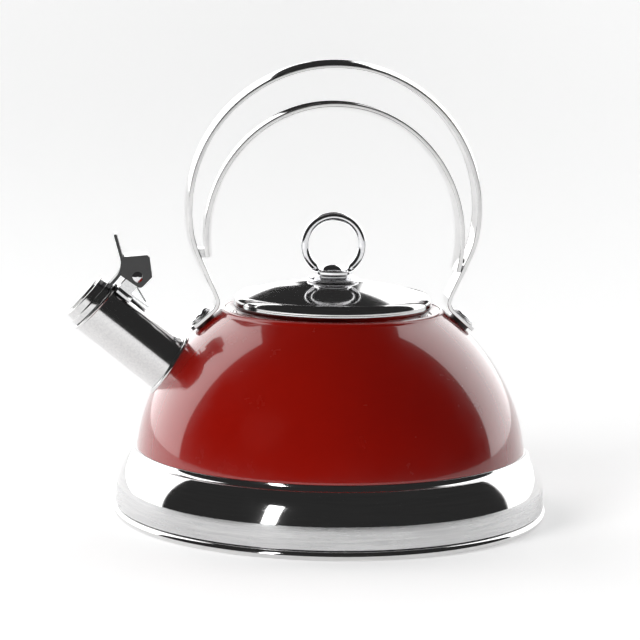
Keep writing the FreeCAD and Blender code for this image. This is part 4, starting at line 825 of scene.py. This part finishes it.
# ---------------------------------------------------------------------------
# Studio: pale floor, soft surroundings, camera
# ---------------------------------------------------------------------------
floor_me = bpy.data.meshes.new("floor")
fb = bmesh.new()
bmesh.ops.create_grid(fb, x_segments=2, y_segments=2, size=400.0)
fb.to_mesh(floor_me)
fb.free()
floor = bpy.data.objects.new("floor", floor_me)
scene.collection.objects.link(floor)
fm = bpy.data.materials.new("floor_pale")
fm.use_nodes = True
fbs = fm.node_tree.nodes["Principled BSDF"]
fbs.inputs["Base Color"].default_value = (0.90, 0.90, 0.90, 1)
fbs.inputs["Roughness"].default_value = 0.65
fbs.inputs["Emission Color"].default_value = (1, 1, 1, 1)
fbs.inputs["Emission Strength"].default_value = 0.4
floor.data.materials.append(fm)
floor.location.z = -0.0001

world = bpy.data.worlds.new("studio")
scene.world = world
world.use_nodes = True
wt = world.node_tree
wt.nodes.clear()
wo = wt.nodes.new("ShaderNodeOutputWorld")
bg = wt.nodes.new("ShaderNodeBackground")
wt.links.new(bg.outputs[0], wo.inputs[0])
tc = wt.nodes.new("ShaderNodeTexCoord")
sep = wt.nodes.new("ShaderNodeSeparateXYZ")
wt.links.new(tc.outputs["Generated"], sep.inputs[0])
DX, DY, DZ = sep.outputs


def wm(op, a, b=None, clamp=False):
    m = wt.nodes.new("ShaderNodeMath")
    m.operation = op
    m.use_clamp = clamp
    for i, v in enumerate((a, b)):
        if v is None:
            continue
        if isinstance(v, (int, float)):
            m.inputs[i].default_value = v
        else:
            wt.links.new(v, m.inputs[i])
    return m.outputs[0]


def plane(a, b, c, soft=0.02, off=0.0):
    """Smooth mask of the directions with a*x + b*y + c*z above off."""
    s = wm("ADD", wm("ADD", wm("MULTIPLY", DX, a), wm("MULTIPLY", DY, b)), wm("MULTIPLY", DZ, c))
    m = wt.nodes.new("ShaderNodeMapRange")
    m.interpolation_type = "SMOOTHSTEP"
    wt.links.new(s, m.inputs[0])
    m.inputs[1].default_value = off - soft
    m.inputs[2].default_value = off + soft
    m.inputs[3].default_value = 0.0
    m.inputs[4].default_value = 1.0
    return m.outputs[0]


ABSX = wm("ABSOLUTE", DX)


def soft_step(value, soft):
    m = wt.nodes.new("ShaderNodeMapRange")
    m.interpolation_type = "SMOOTHSTEP"
    wt.links.new(value, m.inputs[0])
    m.inputs[1].default_value = -soft
    m.inputs[2].default_value = soft
    m.inputs[3].default_value = 0.0
    m.inputs[4].default_value = 1.0
    return m.outputs[0]


# two tall panels, left and right, that run from beside the object round to a slit behind it
front_edge = soft_step(wm("SUBTRACT", wm("SUBTRACT", DY, wm("MULTIPLY", ABSX, 0.235)), wm("MULTIPLY", DZ, 0.10)), 0.012)
top_edge = soft_step(wm("SUBTRACT", wm("ADD", wm("MULTIPLY", ABSX, 1.64), wm("MULTIPLY", DY, 0.22)), DZ), 0.015)
off = wm("SUBTRACT", DX, wm("MULTIPLY", DY, 0.0825))
slit = soft_step(wm("SUBTRACT", wm("SUBTRACT", wm("ABSOLUTE", off), 0.036), wm("MULTIPLY", DZ, 0.06)), 0.006)
slit = wm("MAXIMUM", slit, plane(0, 0, -1, 0.02, -0.12))
top_mask = wm("MAXIMUM", top_edge, plane(0, 0, -1, 0.01, -0.1))
panels = wm("MULTIPLY", wm("MULTIPLY", front_edge, slit), top_mask)
side = plane(1.0, -0.0825, 0.0, 0.01)          # 0 on the left, 1 on the right
level = wm("ADD", wm("MULTIPLY", wm("SUBTRACT", 1.0, side), 2.3), wm("MULTIPLY", side, 2.1))
tot = wm("ADD", wm("MULTIPLY", panels, level), 0.03)
wt.links.new(tot, bg.inputs["Strength"])
bg.inputs["Color"].default_value = (1, 1, 1, 1)


def area(name, loc, target, sx, sy, power, colour=(1, 1, 1)):
    l = bpy.data.lights.new(name, "AREA")
    l.shape = "RECTANGLE"
    l.size, l.size_y = sx, sy
    l.energy = power
    l.color = colour
    o = bpy.data.objects.new(name, l)
    scene.collection.objects.link(o)
    o.location = loc
    d = Vector(target) - Vector(loc)
    o.rotation_euler = d.to_track_quat("-Z", "Y").to_euler()
    return o


key = area("key_soft", (-1.5, -1.3, 1.1), (0, 0, 0.08), 0.9, 0.9, 30)
key.visible_glossy = False
strip = area("base_strip", (-0.62, -0.88, 0.42), (-0.03, -0.1, 0.025), 0.14, 0.62, 2.2)
lit = bpy.data.collections.new("strip_receivers")
for piece_name in ("base_pan_visual", "base_cap_visual"):
    lit.objects.link(bpy.data.objects[piece_name])
strip.light_linking.receiver_collection = lit

cam = bpy.data.cameras.new("photo_camera")
cam.sensor_width = 36.0
cam.lens = 2297.0 / 640.0 * 36.0
cam.clip_end = 1000.0
cam_ob = bpy.data.objects.new("photo_camera", cam)
scene.collection.objects.link(cam_ob)
w_, p_, roll = RAD(-0.309), RAD(8.28), 0.0150
fr = Vector((math.cos(w_), -math.sin(w_), 0))
ff = Vector((math.sin(w_) * math.cos(p_), math.cos(w_) * math.cos(p_), -math.sin(p_)))
fu = Vector((math.sin(w_) * math.sin(p_), math.cos(w_) * math.sin(p_), math.cos(p_)))
ir = fr * math.cos(roll) + fu * math.sin(roll)
iu = fu * math.cos(roll) - fr * math.sin(roll)
turn_m = Matrix.Rotation(RAD(-5.0), 3, "Z")
ir, iu, ff = turn_m @ ir, turn_m @ iu, turn_m @ ff
loc = turn_m @ Vector((0, -1.147, 0.2645))
cam_ob.matrix_world = Matrix(((ir.x, iu.x, -ff.x, loc.x), (ir.y, iu.y, -ff.y, loc.y), (ir.z, iu.z, -ff.z, loc.z), (0, 0, 0, 1)))
scene.camera = cam_ob
scene.view_settings.view_transform = "Standard"
scene.view_settings.look = "None"
